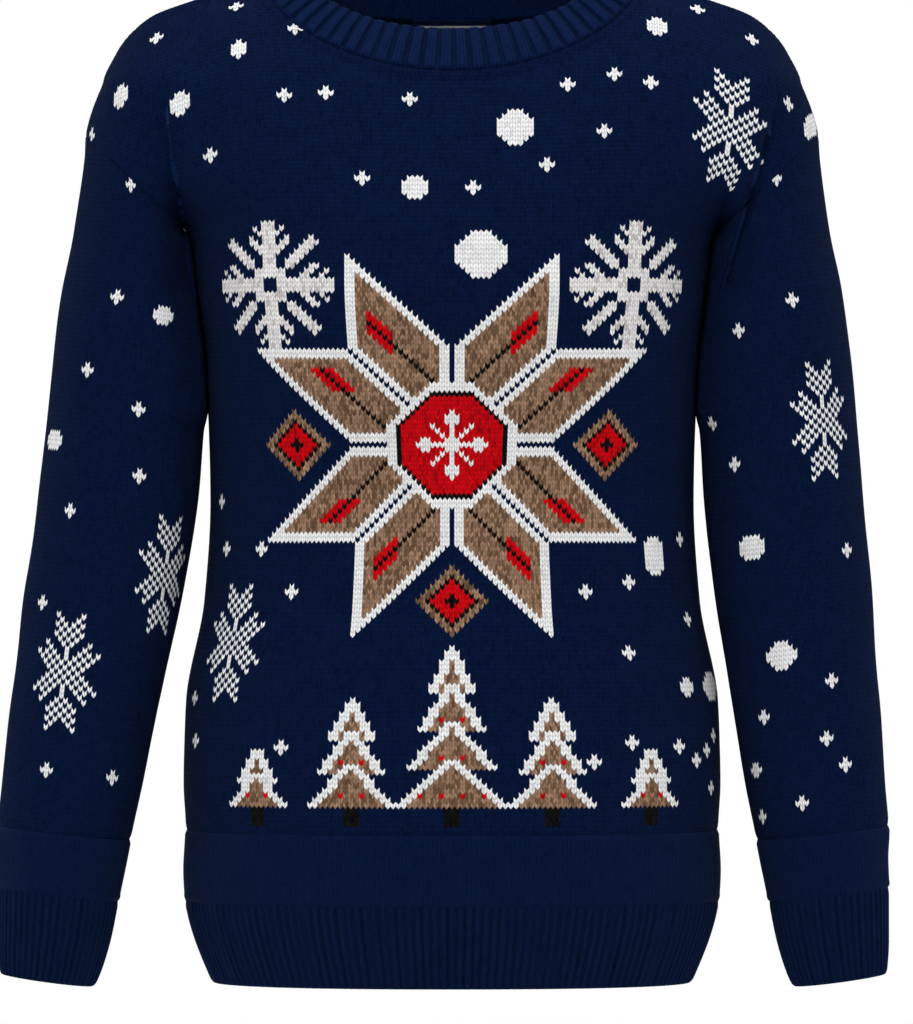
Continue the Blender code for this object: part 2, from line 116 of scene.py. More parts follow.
DYES: dict[Yarn, Dye] = {
    Yarn.NAVY: Dye((0.0024, 0.0085, 0.0390), (0.0019, 0.0067, 0.0305), 0.14, 0.07),
    Yarn.WHITE: Dye((0.86, 0.86, 0.87), (0.72, 0.72, 0.74), 0.05, 0.03),
    Yarn.GREY: Dye((0.80, 0.775, 0.775), (0.56, 0.53, 0.53), 0.16, 0.05),
    Yarn.BROWN: Dye((0.300, 0.180, 0.113), (0.150, 0.085, 0.048), 0.34, 0.16),
    Yarn.RED: Dye((0.590, 0.0030, 0.0070), (0.400, 0.0020, 0.0050), 0.18, 0.08),
    Yarn.BLACK: Dye((0.0065, 0.0062, 0.0060), (0.0040, 0.0040, 0.0042), 0.25, 0.15),
    # The reverse yarn is the navy made about 1.7 times brighter: painted light on the inside of the panels
    # and sleeves.
    Yarn.REVERSE: Dye((0.0040, 0.0150, 0.0660), (0.0090, 0.0200, 0.0700), 0.10, 0.16),
    Yarn.RIB: Dye((0.0027, 0.0100, 0.0450), (0.0022, 0.0080, 0.0360), 0.16, 0.07),
    Yarn.LABEL: Dye((0.0060, 0.0120, 0.0420), (0.0045, 0.0095, 0.0330), 0.30, 0.10),
    Yarn.LABEL_LINE: Dye((0.62, 0.62, 0.64), (0.45, 0.45, 0.48), 0.20, 0.06),
}

# The dimmest and brightest that a leg of yarn may turn out.
BRIGHTNESS = (0.4, 1.7)


# ---------------- curves and tables


def monotone_slopes(key: Array, values: Array) -> Array:
    """Slopes of a curve that passes through the values and swings past none of them.

    Args:
        key: Rising places along the curve.
        values: The curve's value at each place.

    Returns:
        The slope at each place.
    """
    step = np.diff(key)
    rise = np.diff(values) / step
    slopes = np.zeros_like(values)
    slopes[0], slopes[-1] = rise[0], rise[-1]
    near, far = 2 * step[1:] + step[:-1], step[1:] + 2 * step[:-1]
    turning = rise[:-1] * rise[1:] <= 0
    before = np.where(turning, 1.0, rise[:-1])
    after = np.where(turning, 1.0, rise[1:])
    slopes[1:-1] = np.where(turning, 0.0, (near + far) / (near / before + far / after))
    return slopes


class Table:
    """Rows under named columns, read between rows by a monotone cubic along the first column."""

    def __init__(self, columns: tuple[str, ...], *rows: tuple[float, ...]) -> None:
        """Keeps the rows.

        Args:
            columns: The columns' names, the key's first.
            rows: One tuple of numbers for each row.
        """
        values = np.array(sorted(rows), float)
        self.key = values[:, 0]
        self.values = dict(zip(columns, values.T))
        self.slopes = {name: monotone_slopes(self.key, column) for name, column in self.values.items()}

    def at(self, name: str, key: float | Array) -> Array:
        """Reads a column.

        Args:
            name: The column.
            key: A place along the first column, or an array of them.

        Returns:
            The column's value at each place.
        """
        key = np.clip(key, self.key[0], self.key[-1])
        i = np.clip(np.searchsorted(self.key, key) - 1, 0, len(self.key) - 2)
        width = self.key[i + 1] - self.key[i]
        t = (key - self.key[i]) / width
        low, high = self.values[name][i], self.values[name][i + 1]
        rise_low, rise_high = self.slopes[name][i] * width, self.slopes[name][i + 1] * width
        return (
            low * (1 + 2 * t) * (1 - t) ** 2
            + rise_low * t * (1 - t) ** 2
            + high * t**2 * (3 - 2 * t)
            - rise_high * t**2 * (1 - t)
        )


def unit(vectors: Array) -> Array:
    """The same directions at length 1."""
    return vectors / np.maximum(np.linalg.norm(vectors, axis=-1, keepdims=True), 1e-12)


def smooth(t: Array) -> Array:
    """A soft step from 0 to 1 as t goes from 0 to 1."""
    t = np.clip(t, 0, 1)
    return t**2 * (3 - 2 * t)


def lengths(points: Array) -> Array:
    """Distance from the first point along a line of points, at each of them."""
    return np.concatenate([[0], np.cumsum(np.linalg.norm(np.diff(points, axis=0), axis=1))])


def read_at(at: Array, key: Array, points: Array) -> Array:
    """Points read at some places along a line of them."""
    return np.stack([np.interp(at, key, axis) for axis in points.T], axis=-1)


def even_steps(points: Array, count: int) -> Array:
    """Spaces points evenly.

    Args:
        points: A fine line of points.
        count: How many steps to divide it into.

    Returns:
        count + 1 points at equal distances along the line.
    """
    length = lengths(points)
    even = np.linspace(0, length[-1], count + 1)
    return read_at(even, length, points)


def lobe(x: Array, half_width: Array, depth: Array, power: Array) -> Array:
    """Depth at x of a rounded section of a half width, a depth at the centre and a squareness."""
    return depth * np.clip(1 - (np.abs(x) / half_width) ** power, 0, 1) ** (1 / power)


# ---------------- the form of the garment


@dataclass(frozen=True)
class BodyForm:
    """The body's outside, in millimetres, as the construction gives it."""

    underarm_z: float = -162.0
    shoulder_point_z: float = -100.0
    hem_seam_z: float = -550.0
    neck_half_width: float = 121.5
    shoulder_crowding: float = 1.5
    fine: int = 400
    neck_seam: dict[str, tuple[float, float]] = field(
        default_factory=lambda: {"front": (-60.2, 1.25), "back": (-18.0, 1.25)}
    )
    torso: Table = Table(
        ("z", "half_width", "front", "back", "power"),
        (-648.5, 155.5, 103, 97, 2.3),
        (-632, 162.5, 107, 100, 2.3),
        (-620, 167, 110, 103, 2.3),
        (-606, 171, 113, 106, 2.3),
        (-598, 172.5, 114, 107, 2.3),
        (-575, 174, 115.5, 108.5, 2.3),
        (-550, 173, 116, 109, 2.3),
        (-520, 174.5, 116, 110, 2.3),
        (-465, 172.5, 112, 104, 2.3),
        (-401, 161, 103, 90, 2.3),
        (-336, 157, 98, 80, 2.3),
        (-254, 159.5, 116, 90, 2.3),
        (-206, 165, 122, 97, 2.3),
        (-162, 172, 115, 100, 2.3),
        (-129, 198, 105, 96, 2.3),
        (-96, 219, 94, 91, 2.25),
        (-67, 227, 82, 85, 2.2),
        (-47, 219, 71, 80, 2.1),
        (-35, 211, 63, 76, 2.0),
        (-23, 196, 55, 70, 1.85),
        (-11, 165, 46, 63, 1.7),
        (-4, 141, 42, 60, 1.55),
        (0, 121.5, 40, 56, 1.5),
    )
    arm_root: Table = Table(
        ("z", "centre", "half_width", "depth", "blend"),
        (-162, 208, 36, 60, 2),
        (-129, 196, 45, 60, 14),
        (-96, 190, 47.5, 57, 26),
        (-67, 184, 43.5, 47, 34),
        (-47, 176, 40, 30, 30),
        (-35, 170, 35, 15, 20),
    )

    def depth_at(self, x: Array, z: Array, side: Side) -> Array:
        """How far the cloth stands from the plane of the shoulders.

        Args:
            x: Places across the body.
            z: Their heights.
            side: The front or the back.

        Returns:
            The distance in front of that plane or behind it.
        """
        torso, arm_root = self.torso, self.arm_root
        chest = lobe(x, torso.at("half_width", z), torso.at(side.label, z), torso.at("power", z))
        from_arm = np.abs(x) - arm_root.at("centre", z)
        arm = lobe(from_arm, arm_root.at("half_width", z), arm_root.at("depth", z), 2.0)
        arm = np.where(z > self.underarm_z, arm, 0.0)
        blend = arm_root.at("blend", z)
        soft = np.clip(blend - np.abs(chest - arm), 0, None) ** 2 / (4 * blend)
        return np.maximum(chest, arm) + soft * np.clip(np.minimum(chest, arm) / blend, 0, 1)

    def outer_edge(self, z: Array) -> Array:
        """Half width of the body with its arms, above the underarm."""
        arm = self.arm_root.at("centre", z) + self.arm_root.at("half_width", z)
        return np.maximum(self.torso.at("half_width", z), np.where(z < self.arm_root.key[-1], arm, 0.0))

    def quarter_section(self, z: float, side: Side, count: int) -> Array:
        """Points round the body at one level.

        Args:
            z: The level.
            side: The front or the back.
            count: How many steps to take.

        Returns:
            Evenly spaced points from the centre to the side seam.
        """
        turn = np.linspace(0, np.pi / 2, self.fine)
        share = 2 / self.torso.at("power", z)
        x = self.torso.at("half_width", z) * np.sin(turn) ** share
        y = self.torso.at(side.label, z) * np.clip(np.cos(turn), 0, 1) ** share
        return even_steps(np.stack([x, side.value * y, np.full(self.fine, z)], axis=1), count)

    def neckline(self, side: Side, turn: Array) -> Array:
        """Points on the neck seam.

        Args:
            side: The front or the back.
            turn: From the centre, 0, to the shoulder, pi / 2.

        Returns:
            The point at each turn.
        """
        low, power = self.neck_seam[side.label]
        x = self.neck_half_width * np.sin(turn)
        z = low * np.clip(np.cos(turn), 0, 1) ** power
        return np.stack([x, side.value * self.depth_at(x, z, side), z], axis=-1)

    def neck_turns(self, side: Side, count: int) -> Array:
        """The turns that divide half of the neck seam evenly.

        Args:
            side: The front or the back.
            count: How many steps there are.

        Returns:
            Turns from 0 to pi / 2.
        """
        turn = np.linspace(0, np.pi / 2, self.fine)
        length = lengths(self.neckline(side, turn))
        return np.interp(np.linspace(0, length[-1], count + 1), length, turn)

    def top_boundary(self, side: Side, count: int) -> Array:
        """Points along the neck seam and then the shoulder seam.

        Args:
            side: The front or the back.
            count: How many steps each of the two seams is divided into.

        Returns:
            Points from the centre of the neck to the shoulder point.
        """
        z = self.shoulder_point_z * np.linspace(0, 1, self.fine) ** self.shoulder_crowding
        line = np.stack([self.outer_edge(z), np.zeros(self.fine), z], axis=1)
        shoulder = even_steps(line, count)
        shoulder[:, 0] = self.outer_edge(shoulder[:, 2])
        return np.concatenate([self.neckline(side, self.neck_turns(side, count)), shoulder[1:]])

    def armhole(self, side: Side, count: int) -> Array:
        """Points up the right armhole's front or back half.

        Args:
            side: The front or the back.
            count: How many steps to take.

        Returns:
            Evenly spaced points from the underarm to the shoulder point.
        """
        start = self.quarter_section(self.underarm_z, side, 1)[-1]
        end = self.top_boundary(side, 1)[-1]
        t = (1 - np.cos(np.linspace(0, np.pi, self.fine))) / 2
        x = start[0] + (end[0] - start[0]) * t
        z = start[2] + (end[2] - start[2]) * t
        return even_steps(np.stack([x, side.value * self.depth_at(x, z, side), z], axis=1), count)


@dataclass(frozen=True)
class ArmForm:
    """The sleeve's outside, in millimetres, as the construction gives it."""

    body: BodyForm
    cuff_seam_z: float = -556.0
    arm_clearance: float = 1.5
    lean: float = -5.5
    lean_from: float = -276.0
    crowding: float = 1.35
    rows: int = 18
    settle_rows: int = 6
    edges: Table = Table(
        ("z", "inner", "outer"),
        (-652, 227, 283),
        (-643.5, 223, 286.4),
        (-621, 216, 288),
        (-591, 210, 288),
        (-568, 205, 287.5),
        (-550.5, 201.5, 288.5),
        (-520.6, 195.2, 286),
        (-480, 187.9, 283.5),
        (-445, 181.4, 279.4),
        (-401, 173, 275),
        (-336, 164, 268),
        (-290, 160.5, 263.5),
        (-238.5, 150, 258.5),
        (-200, 150, 253.4),
        (-162, 150, 245.5),
        (-131, 150, 241),
        (-100, 150, 237.6),
    )
    sections: Table = Table(
        ("z_inner", "z_outer", "depth", "middle"),
        (-651, -643, 31, -22),
        (-632, -623.5, 34, -21.5),
        (-597, -588, 39, -21),
        (-556, -546.5, 42, -20),
        (-525, -516, 44, -18.5),
        (-485, -476, 45.5, -16.5),
        (-450, -441, 47, -14.5),
        (-405, -395.5, 49, -11.5),
        (-340, -330, 52, -7.5),
        (-276, -265, 55, -4),
        (-243, -226, 56.5, -2.5),
        (-206, -178, 58, -1),
        (-178, -131, 59.5, 0),
        (-162, -100, 60, 0),
    )

    def section(self, z_inner: float, shape: Array, side_sign: int) -> Array:
        """Places a section's shape on the arm.

        Args:
            z_inner: The height of the section's inner point.
            shape: Points as (share of the half width, share of the half depth).
            side_sign: 1 for the right sleeve and -1 for the left.

        Returns:
            The points in the garment's frame.
        """
        z_outer = self.sections.at("z_outer", z_inner)
        reach_in = self.body.torso.at("half_width", z_inner) + self.arm_clearance
        inner_x = max(reach_in, self.edges.at("inner", z_inner))
        outer_x = self.edges.at("outer", z_outer)
        low, high = np.array([inner_x, 0, z_inner]), np.array([outer_x, 0, z_outer])
        centre, reach = (low + high) / 2, (high - low) / 2
        centre[1] = self.sections.at("middle", z_inner)
        depth = self.sections.at("depth", z_inner)
        ring = shape[:, :1] * reach + depth * shape[:, 1:] * (0, 1, 0)
        lean = smooth((self.lean_from - z_inner) / (self.lean_from - self.cuff_seam_z))
        centre = centre * (side_sign, 1, 1) + (self.lean * lean, 0, 0)
        return centre + ring * (side_sign, 1, 1)

    @staticmethod
    def round_shape(side: Side, count: int) -> Array:
        """Half of a round section, from the inner point to the outer one."""
        turn = np.linspace(0, np.pi, count + 1)
        return np.stack([-np.cos(turn), side.value * np.sin(turn)], axis=1)

    def armhole_shape(self, side: Side, count: int) -> Array:
        """Half of the armhole as a section's shape.

        Args:
            side: The front or the back.
            count: How many steps to take.

        Returns:
            Its shape, as section() takes it, from the underarm to the shoulder point.
        """
        ring = self.body.armhole(side, count)
        low, high = ring[0], ring[-1]
        reach = (high - low) / 2
        across = ((ring - (low + high) / 2) @ reach) / (reach @ reach)
        depth = self.sections.at("depth", self.body.underarm_z)
        return np.stack([across, ring[:, 1] / depth], axis=1)

    def half(self, side: Side, side_sign: int, levels: Array, count: int) -> Array:
        """Half of the sleeve, between the under-sleeve seam and the line down its outside.

        Args:
            side: The front or the back.
            side_sign: 1 for the right sleeve and -1 for the left.
            levels: Shares of the way from the armhole, 0, to the cuff seam, 1.
            count: How many steps each section takes.

        Returns:
            Points [level, step], each section from the seam to the outside.
        """
        start, full = self.armhole_shape(side, count), self.round_shape(side, count)
        underarm = self.body.underarm_z
        armhole = self.body.armhole(side, count) * (side_sign, 1, 1)
        first = self.section(underarm, start, side_sign)
        rings = []
        for level in levels:
            z_inner = underarm + (self.cuff_seam_z - underarm) * level**self.crowding
            shape = start + (full - start) * smooth(np.array(level * self.rows / self.settle_rows))
            ring = self.section(z_inner, shape, side_sign)
            rings.append(ring + (armhole - first) * (1 - smooth(np.array(level * self.rows))))
        return np.array(rings)


# ---------------- creases and small relief

# Creases and folds fade out this near to the plane of the shoulders.
SIDE_FADE = 30.0
# The unevenness of hand: how many waves it adds up, and how long they are.
LUMP_WAVES = 9
LUMP_LENGTHS = (38.0, 110.0)


@dataclass(frozen=True)
class Crease:
    """A soft trough or ridge between two points seen from the front or from behind.

    Attributes:
        start: (x, z) of its upper end.
        end: (x, z) of its lower end.
        width: Distance from its line at which it has faded.
        depth: How deep it is, and below 0 how high.
    """

    FADE = 2.2
    END = 0.04

    start: tuple[float, float]
    end: tuple[float, float]
    width: float
    depth: float

    def dip(self, points: Array) -> Array:
        """How far the crease sinks each point.

        Args:
            points: Points of the cloth.

        Returns:
            The depth at each, below 0 on a ridge.
        """
        start, end = np.array(self.start), np.array(self.end)
        flat = points[..., [0, 2]]
        along = end - start
        share = ((flat - start) @ along) / (along @ along)
        nearest = start + np.clip(share, 0, 1)[..., None] * along
        away = np.linalg.norm(flat - nearest, axis=-1) / self.width
        swell = np.clip(np.sin(np.pi * np.clip(share, self.END, 1 - self.END)), 0, 1) ** 0.5
        return self.depth * np.exp(-self.FADE * away**2) * swell


@dataclass(frozen=True)
class Tuck:
    """A fold between two points whose outer side sinks behind its inner side.

    Attributes:
        start: (x, z) of its upper end.
        end: (x, z) of its lower end.
        depth: How far the outer side sinks at the fold.
        reach: Distance over which it comes back.
    """

    OVERLAP = 0.8
    TURN = 3.0
    TOP_SHARE = 0.4
    FOOT_SHARE = 0.15

    start: tuple[float, float]
    end: tuple[float, float]
    depth: float = 13.0
    reach: float = 20.0

    def sink(self, points: Array) -> Array:
        """How far each point sinks towards the plane of the shoulders.

        Args:
            points: Points of the cloth.

        Returns:
            The distance at each.
        """
        start, end = np.array(self.start), np.array(self.end)
        way = unit(end - start)
        outwards = np.array([way[1], -way[0]])
        outwards *= np.sign(outwards[0] * start[0])
        off = points[..., [0, 2]] - start
        share = off @ way / np.linalg.norm(end - start)
        away = off @ outwards
        dip = smooth((away + self.OVERLAP) / self.TURN) * np.exp(-np.clip(away, 0, None) / self.reach)
        swell = smooth(share / self.TOP_SHARE) * (1 - smooth((share - 1) / self.FOOT_SHARE))
        return self.depth * dip * swell * smooth(np.abs(points[..., 1]) / SIDE_FADE)


TUCKS: dict[Side, tuple[Tuck, ...]] = {
    Side.FRONT: (Tuck((-185, -58), (-166.5, -198)), Tuck((213, -58), (174, -196), 13.5)),
    Side.BACK: (Tuck((-190, -80), (-170, -184), 5.0), Tuck((186, -74), (169, -190), 6.0)),
}


def hang(points: Array) -> Array:
    """Sinks the cloth outside the folds that run from the shoulders to the underarms.

    Args:
        points: Points of the cloth.

    Returns:
        The points, moved.
    """
    sink = np.zeros(points.shape[:-1])
    for side, tucks in TUCKS.items():
        for tuck in tucks:
            sink -= np.where(points[..., 1] * side.value > 0, side.value * tuck.sink(points), 0.0)
    return points + sink[..., None] * (0, 1, 0)


def soft_lumps(points: Array, height: float) -> Array:
    """A slight unevenness of hand, from a few long waves in different directions.

    Args:
        points: Points of the cloth.
        height: How high the lumps are.

    Returns:
        The height at each point.
    """
    rng = np.random.default_rng(SEED)
    total = np.zeros(points.shape[:-1])
    for _ in range(LUMP_WAVES):
        way = unit(rng.normal(size=3)) * 2 * np.pi / rng.uniform(*LUMP_LENGTHS)
        total += np.sin(points @ way + rng.uniform(0, 2 * np.pi))
    return total * height / np.sqrt(LUMP_WAVES)


def groove(distance: Array, depth: float, width: float) -> Array:
    """The dip of cloth towards a seam, at a distance from it."""
    return -depth * np.exp(-((distance / width) ** 2))


# ---------------- meshes


def yarn_colours(yarns: Array, rng: Rng, shade: Array | None = None) -> Array:
    """Dyes each leg of yarn.

    Args:
        yarns: Numbers of yarns, one for each face.
        rng: The draw for flecks and brightness.
        shade: Painted light and shade, as a brightness for each face, or None for 1 everywhere.

    Returns:
        RGBA colours, one row for each face.
    """
    draw = rng.random(len(yarns))
    level = rng.normal(size=len(yarns))
    colours = np.ones((len(yarns), 4))
    for yarn, dye in DYES.items():
        mine = yarns == yarn.value
        fleck = (draw[mine] < dye.fleck_share)[:, None]
        base = np.where(fleck, dye.fleck, dye.main)
        colours[mine, :3] = base * np.clip(1 + dye.spread * level[mine], *BRIGHTNESS)[:, None]
    # The painted light and shade multiply the yarn's colour.
    if shade is not None:
        colours[:, :3] *= shade[:, None]
    colours[:, :3] = np.clip(colours[:, :3], 0, 1)
    return colours


def make_mesh(
    name: str, points: Array, stitches: Array, faces: list[Array], colours: list[Array]
) -> Object:
    """Makes one object from arrays.

    Args:
        name: The object's name.
        points: Points in millimetres.
        stitches: The place of each point in stitches and courses, for the yarn's relief.
        faces: Arrays of point numbers, one array for each number of corners.
        colours: RGBA for each face of each array.

    Returns:
        The object, linked to the scene.
    """
    corners = np.concatenate([group.ravel() for group in faces]).astype(np.int32)
    sizes = np.concatenate([np.full(len(group), group.shape[1]) for group in faces])
    mesh = bpy.data.meshes.new(name)
    mesh.vertices.add(len(points))
    mesh.vertices.foreach_set("co", (points * MM).astype(np.float32).ravel())
    mesh.loops.add(len(corners))
    mesh.loops.foreach_set("vertex_index", corners)
    mesh.polygons.add(len(sizes))
    starts = np.concatenate([[0], np.cumsum(sizes)[:-1]]).astype(np.int32)
    mesh.polygons.foreach_set("loop_start", starts)
    uv = mesh.uv_layers.new(name="stitches")
    uv.data.foreach_set("uv", stitches[corners].astype(np.float32).ravel())
    yarn = mesh.color_attributes.new("yarn", "FLOAT_COLOR", "CORNER")
    dyed = np.repeat(np.concatenate(colours), sizes, axis=0)
    yarn.data.foreach_set("color", dyed.astype(np.float32).ravel())
    mesh.update(calc_edges=True)
    mesh.validate()
    mesh.shade_smooth()
    piece = bpy.data.objects.new(name, mesh)
    bpy.context.scene.collection.objects.link(piece)
    return piece


def grid_faces(numbers: Array, turned: bool) -> Array:
    """Quads over a grid of point numbers [column, row].

    Args:
        numbers: The grid.
        turned: True turns each face round.

    Returns:
        An array of quads.
    """
    a, b = numbers[:-1, :-1], numbers[1:, :-1]
    c, d = numbers[1:, 1:], numbers[:-1, 1:]
    quads = np.stack([a, b, c, d], axis=-1).reshape(-1, 4)
    return quads[:, ::-1] if turned else quads


@dataclass
class Wales:
    """A knitted surface read along its wales.

    Attributes:
        half_stitches: The place of each line of points, in half stitches from the middle.
        points: Points [line, level, xyz] up the wales.
        normals: The way out of the cloth at each point.
        courses: The course that each point lies at, rising along the level.
        first: The course at which each line begins.
        last: The course at which each line ends.
        turned: True if lines run to the left when seen from outside.
    """

    half_stitches: Array
    points: Array
    normals: Array
    courses: Array
    first: Array
    last: Array
    turned: bool

    def read(self, line: int, course: Array) -> tuple[Array, Array]:
        """Points and normals at some courses of one line."""
        key = self.courses[line] + np.arange(self.courses.shape[1]) * TINY
        return read_at(course, key, self.points[line]), unit(read_at(course, key, self.normals[line]))

    def sample(self, pick: Array, step: int, shift: Array) -> "Cells":
        """Lays a grid of courses over the wales.

        Args:
            pick: The numbers of the lines to use.
            step: Courses from one row of points to the next.
            shift: How far down each picked line's points lie, in courses.

        Returns:
            The grid, cut to the cloth's edges.
        """
        rows = int(np.ceil(self.last.max() / step)) + 1
        points, normals, stitches, numbers, spans = [], [], [], [], []
        count = 0
        for line, down in zip(pick, shift):
            course = np.clip(np.arange(rows + 1) * step - down, self.first[line], self.last[line])
            low = np.flatnonzero(course <= self.first[line] + TINY)
            low = low[-1] if len(low) else 0
            high = np.flatnonzero(course >= self.last[line] - TINY)[0]
            high = max(high, low)
            used = np.arange(low, high + 1)
            point, normal = self.read(line, course[used])
            points.append(point)
            normals.append(normal)
            place = np.full(len(used), self.half_stitches[line] / 2)
            stitches.append(np.stack([place, course[used] + down], axis=1))
            numbers.append(count + np.clip(np.arange(rows + 1), low, high) - low)
            spans.append((low, high))
            count += len(used)
        return Cells(
            np.concatenate(points),
            np.concatenate(normals),
            np.concatenate(stitches),
            np.array(numbers),
            np.array(spans),
            self.turned,
        )


@dataclass
class Cells:
    """A grid of points over knitted cloth, cut to the cloth's edges.

    Attributes:
        points: Points of the cloth.
        normals: The way out at each.
        stitches: The place of each in stitches and courses.
        numbers: Point numbers [line, row].
        spans: The rows at which each line begins and ends.
        turned: True if lines run to the left when seen from outside.
    """

    LONG = 24
    CORNER = 3

    points: Array
    normals: Array
    stitches: Array
    numbers: Array
    spans: Array
    turned: bool

    def fills(self, shorter: Array, longer: Array, rows: int) -> Array:
        """Where triangles fill the edge between a line and its longer neighbour.

        Args:
            shorter: (first row, last row) of the shorter line of each pair.
            longer: The same for its neighbour.
            rows: How many rows there are.

        Returns:
            True for each pair and row whose triangle lies on the cloth.
        """
        row = np.arange(rows)[None, :]
        below = shorter[:, :1] - row
        above = row - shorter[:, 1:] + 1
        below_ok = (shorter[:, :1] - longer[:, :1] <= self.LONG) | (below <= self.CORNER)
        above_ok = (longer[:, 1:] - shorter[:, 1:] <= self.LONG) | (above <= self.CORNER)
        return np.where(below > 0, below_ok, above_ok)

    def faces(self, inside: bool = False) -> tuple[list[Array], list[Array]]:
        """Faces over the grid, with the cells that the edge cuts as triangles.

        Args:
            inside: True for the wrong side of the cloth.

        Returns:
            (Quads and triangles, and for each of them the line and row of its cell.)
        """
        a, b = self.numbers[:-1, :-1], self.numbers[1:, :-1]
        c, d = self.numbers[1:, 1:], self.numbers[:-1, 1:]
        cells = np.stack(np.meshgrid(*(np.arange(n) for n in a.shape), indexing="ij"), axis=-1)
        full = (a != d) & (b != c)
        left, right = self.spans[:-1], self.spans[1:]
        right_only = (a == d) & (b != c) & self.fills(left, right, a.shape[1])
        left_only = (a != d) & (b == c) & self.fills(right, left, a.shape[1])
        quads = np.stack([a, b, c, d], axis=-1)[full]
        threes = np.concatenate([
            np.stack([a, b, c], axis=-1)[right_only],
            np.stack([a, b, d], axis=-1)[left_only],
        ])
        where = np.concatenate([cells[right_only], cells[left_only]])
        if self.turned != inside:
            quads, threes = quads[:, ::-1], threes[:, ::-1]
        return [quads, threes], [cells[full], where]


# ---------------- charts


@dataclass
class Chart:
    """The yarn of every stitch of one piece, with the place of each stitch in space.

    Attributes:
        first_wale: The number of the leftmost wale.
        yarns: Yarn numbers [wale, course].
        places: The middle of each stitch in millimetres, with nan past the cloth's edges.
        normals: The way out of the cloth there.
    """

    first_wale: int
    yarns: Array
    places: Array
    normals: Array

    @staticmethod
    def over(wales: Wales) -> "Chart":
        """A chart in plain navy.

        Args:
            wales: The piece's surface.

        Returns:
            The chart.
        """
        centres = np.flatnonzero(wales.half_stitches % 2 == 0)
        courses = int(np.ceil(wales.last.max())) + 1
        places = np.full((len(centres), courses, 3), np.nan)
        normals = np.zeros_like(places)
        for k, line in enumerate(centres):
            rows = np.arange(courses) + LEAN
            point, normal = wales.read(line, np.clip(rows, wales.first[line], wales.last[line]))
            inside = (rows >= wales.first[line]) & (rows <= wales.last[line])
            places[k, inside], normals[k] = point[inside], normal
        first = int(wales.half_stitches[centres[0]] // 2)
        yarns = np.full((len(centres), courses), Yarn.NAVY.value)
        return Chart(first, yarns, places, normals)

    def nearest(self, x: float, z: float, view: "Viewpoint") -> tuple[int, int]:
        """The stitch seen nearest to a place.

        Args:
            x: Millimetres to the right of the middle, as the viewpoint sees it.
            z: Height.
            view: Where it is seen from.

        Returns:
            (wale, course) as places in the arrays.
        """
        seen_x, seen_z = view.project(self.places)
        away = (seen_x - x) ** 2 + (seen_z - z) ** 2
        away = np.where(view.faces(self.normals), away, np.nan)
        wale, course = np.unravel_index(np.nanargmin(away), away.shape)
        return int(wale), int(course)

    def spacing(self, wale: int, course: int, view: "Viewpoint") -> tuple[float, float]:
        """How far apart wales and courses are seen to lie at one stitch.

        Args:
            wale: The stitch's place in the arrays.
            course: The same, up the cloth.
            view: Where it is seen from.

        Returns:
            (Across, up) in millimetres.
        """
        seen = np.stack(view.project(self.places), axis=-1)
        wide = np.linalg.norm(seen[min(wale + 1, len(seen) - 1), course] - seen[max(wale - 1, 0), course]) / 2
        high = np.linalg.norm(seen[wale, course + 1] - seen[wale, max(course - 1, 0)]) / 2
        return float(np.nan_to_num(wide, nan=STITCH)), float(np.nan_to_num(high, nan=COURSE))

    def put(self, wale: int, course: int, stamp: Stamp, clear: int = 0) -> bool:
        """Knits a stamp into the chart.

        Args:
            wale: The stamp's middle, as a place in the arrays.
            course: The same, up the cloth.
            stamp: Yarns by (wale, course) from the stamp's middle.
            clear: The stamp is left out if other yarn lies this near to it.

        Returns:
            True if the stamp was knitted.
        """
        wide, high = self.yarns.shape
        for i, j in stamp if clear else ():
            across = slice(max(wale + i - clear, 0), max(wale + i + clear + 1, 0))
            up = slice(max(course + j - clear, 0), max(course + j + clear + 1, 0))
            if (self.yarns[across, up] != Yarn.NAVY.value).any():
                return False
        for (i, j), yarn in stamp.items():
            if 0 <= wale + i < wide and 0 <= course + j < high:
                self.yarns[wale + i, course + j] = yarn.value
        return True


@dataclass(frozen=True)
class Viewpoint:
    """A place from which the motifs' positions are given.

    Attributes:
        x: Its place across.
        z: Its height.
        distance: How far it lies from the plane of the shoulders.
        side: The side of the garment that it sees.
        least_facing: How far cloth has to face that side to be seen.
    """

    x: float = 2.9
    z: float = -344.0
    distance: float = 6000.0
    side: Side = Side.FRONT
    least_facing: float = 0.02

    def project(self, places: Array) -> tuple[Array, Array]:
        """Where points are seen.

        Args:
            places: The points.

        Returns:
            (x to the viewpoint's right, z) on the plane of the shoulders.
        """
        scale = self.distance / (self.distance - self.side.value * places[..., 1])
        across = -self.side.value * (places[..., 0] - self.x) * scale
        return across - self.side.value * self.x, self.z + (places[..., 2] - self.z) * scale

    def faces(self, normals: Array) -> Array:
        """Whether cloth with these normals is seen."""
        return normals[..., 1] * self.side.value > self.least_facing

VIEWS: dict[Side, Viewpoint] = {Side.FRONT: Viewpoint(), Side.BACK: Viewpoint(side=Side.BACK, x=0.0)}


def from_rows(yarn: Yarn, *rows: str) -> Stamp:
    """A small stamp, drawn row by row.

    Args:
        yarn: Its yarn.
        rows: Its courses from the top down, with # for a stitch in that yarn.

    Returns:
        The stamp, centred.
    """
    high, wide = len(rows), len(rows[0])
    return {
        (i - wide // 2, high - 1 - j - high // 2): yarn
        for j, row in enumerate(rows)
        for i, mark in enumerate(row)
        if mark == "#"
    }


def square(reach: int) -> product:
    """Every (wale, course) within a reach of the middle."""
    return product(range(-reach, reach + 1), repeat=2)


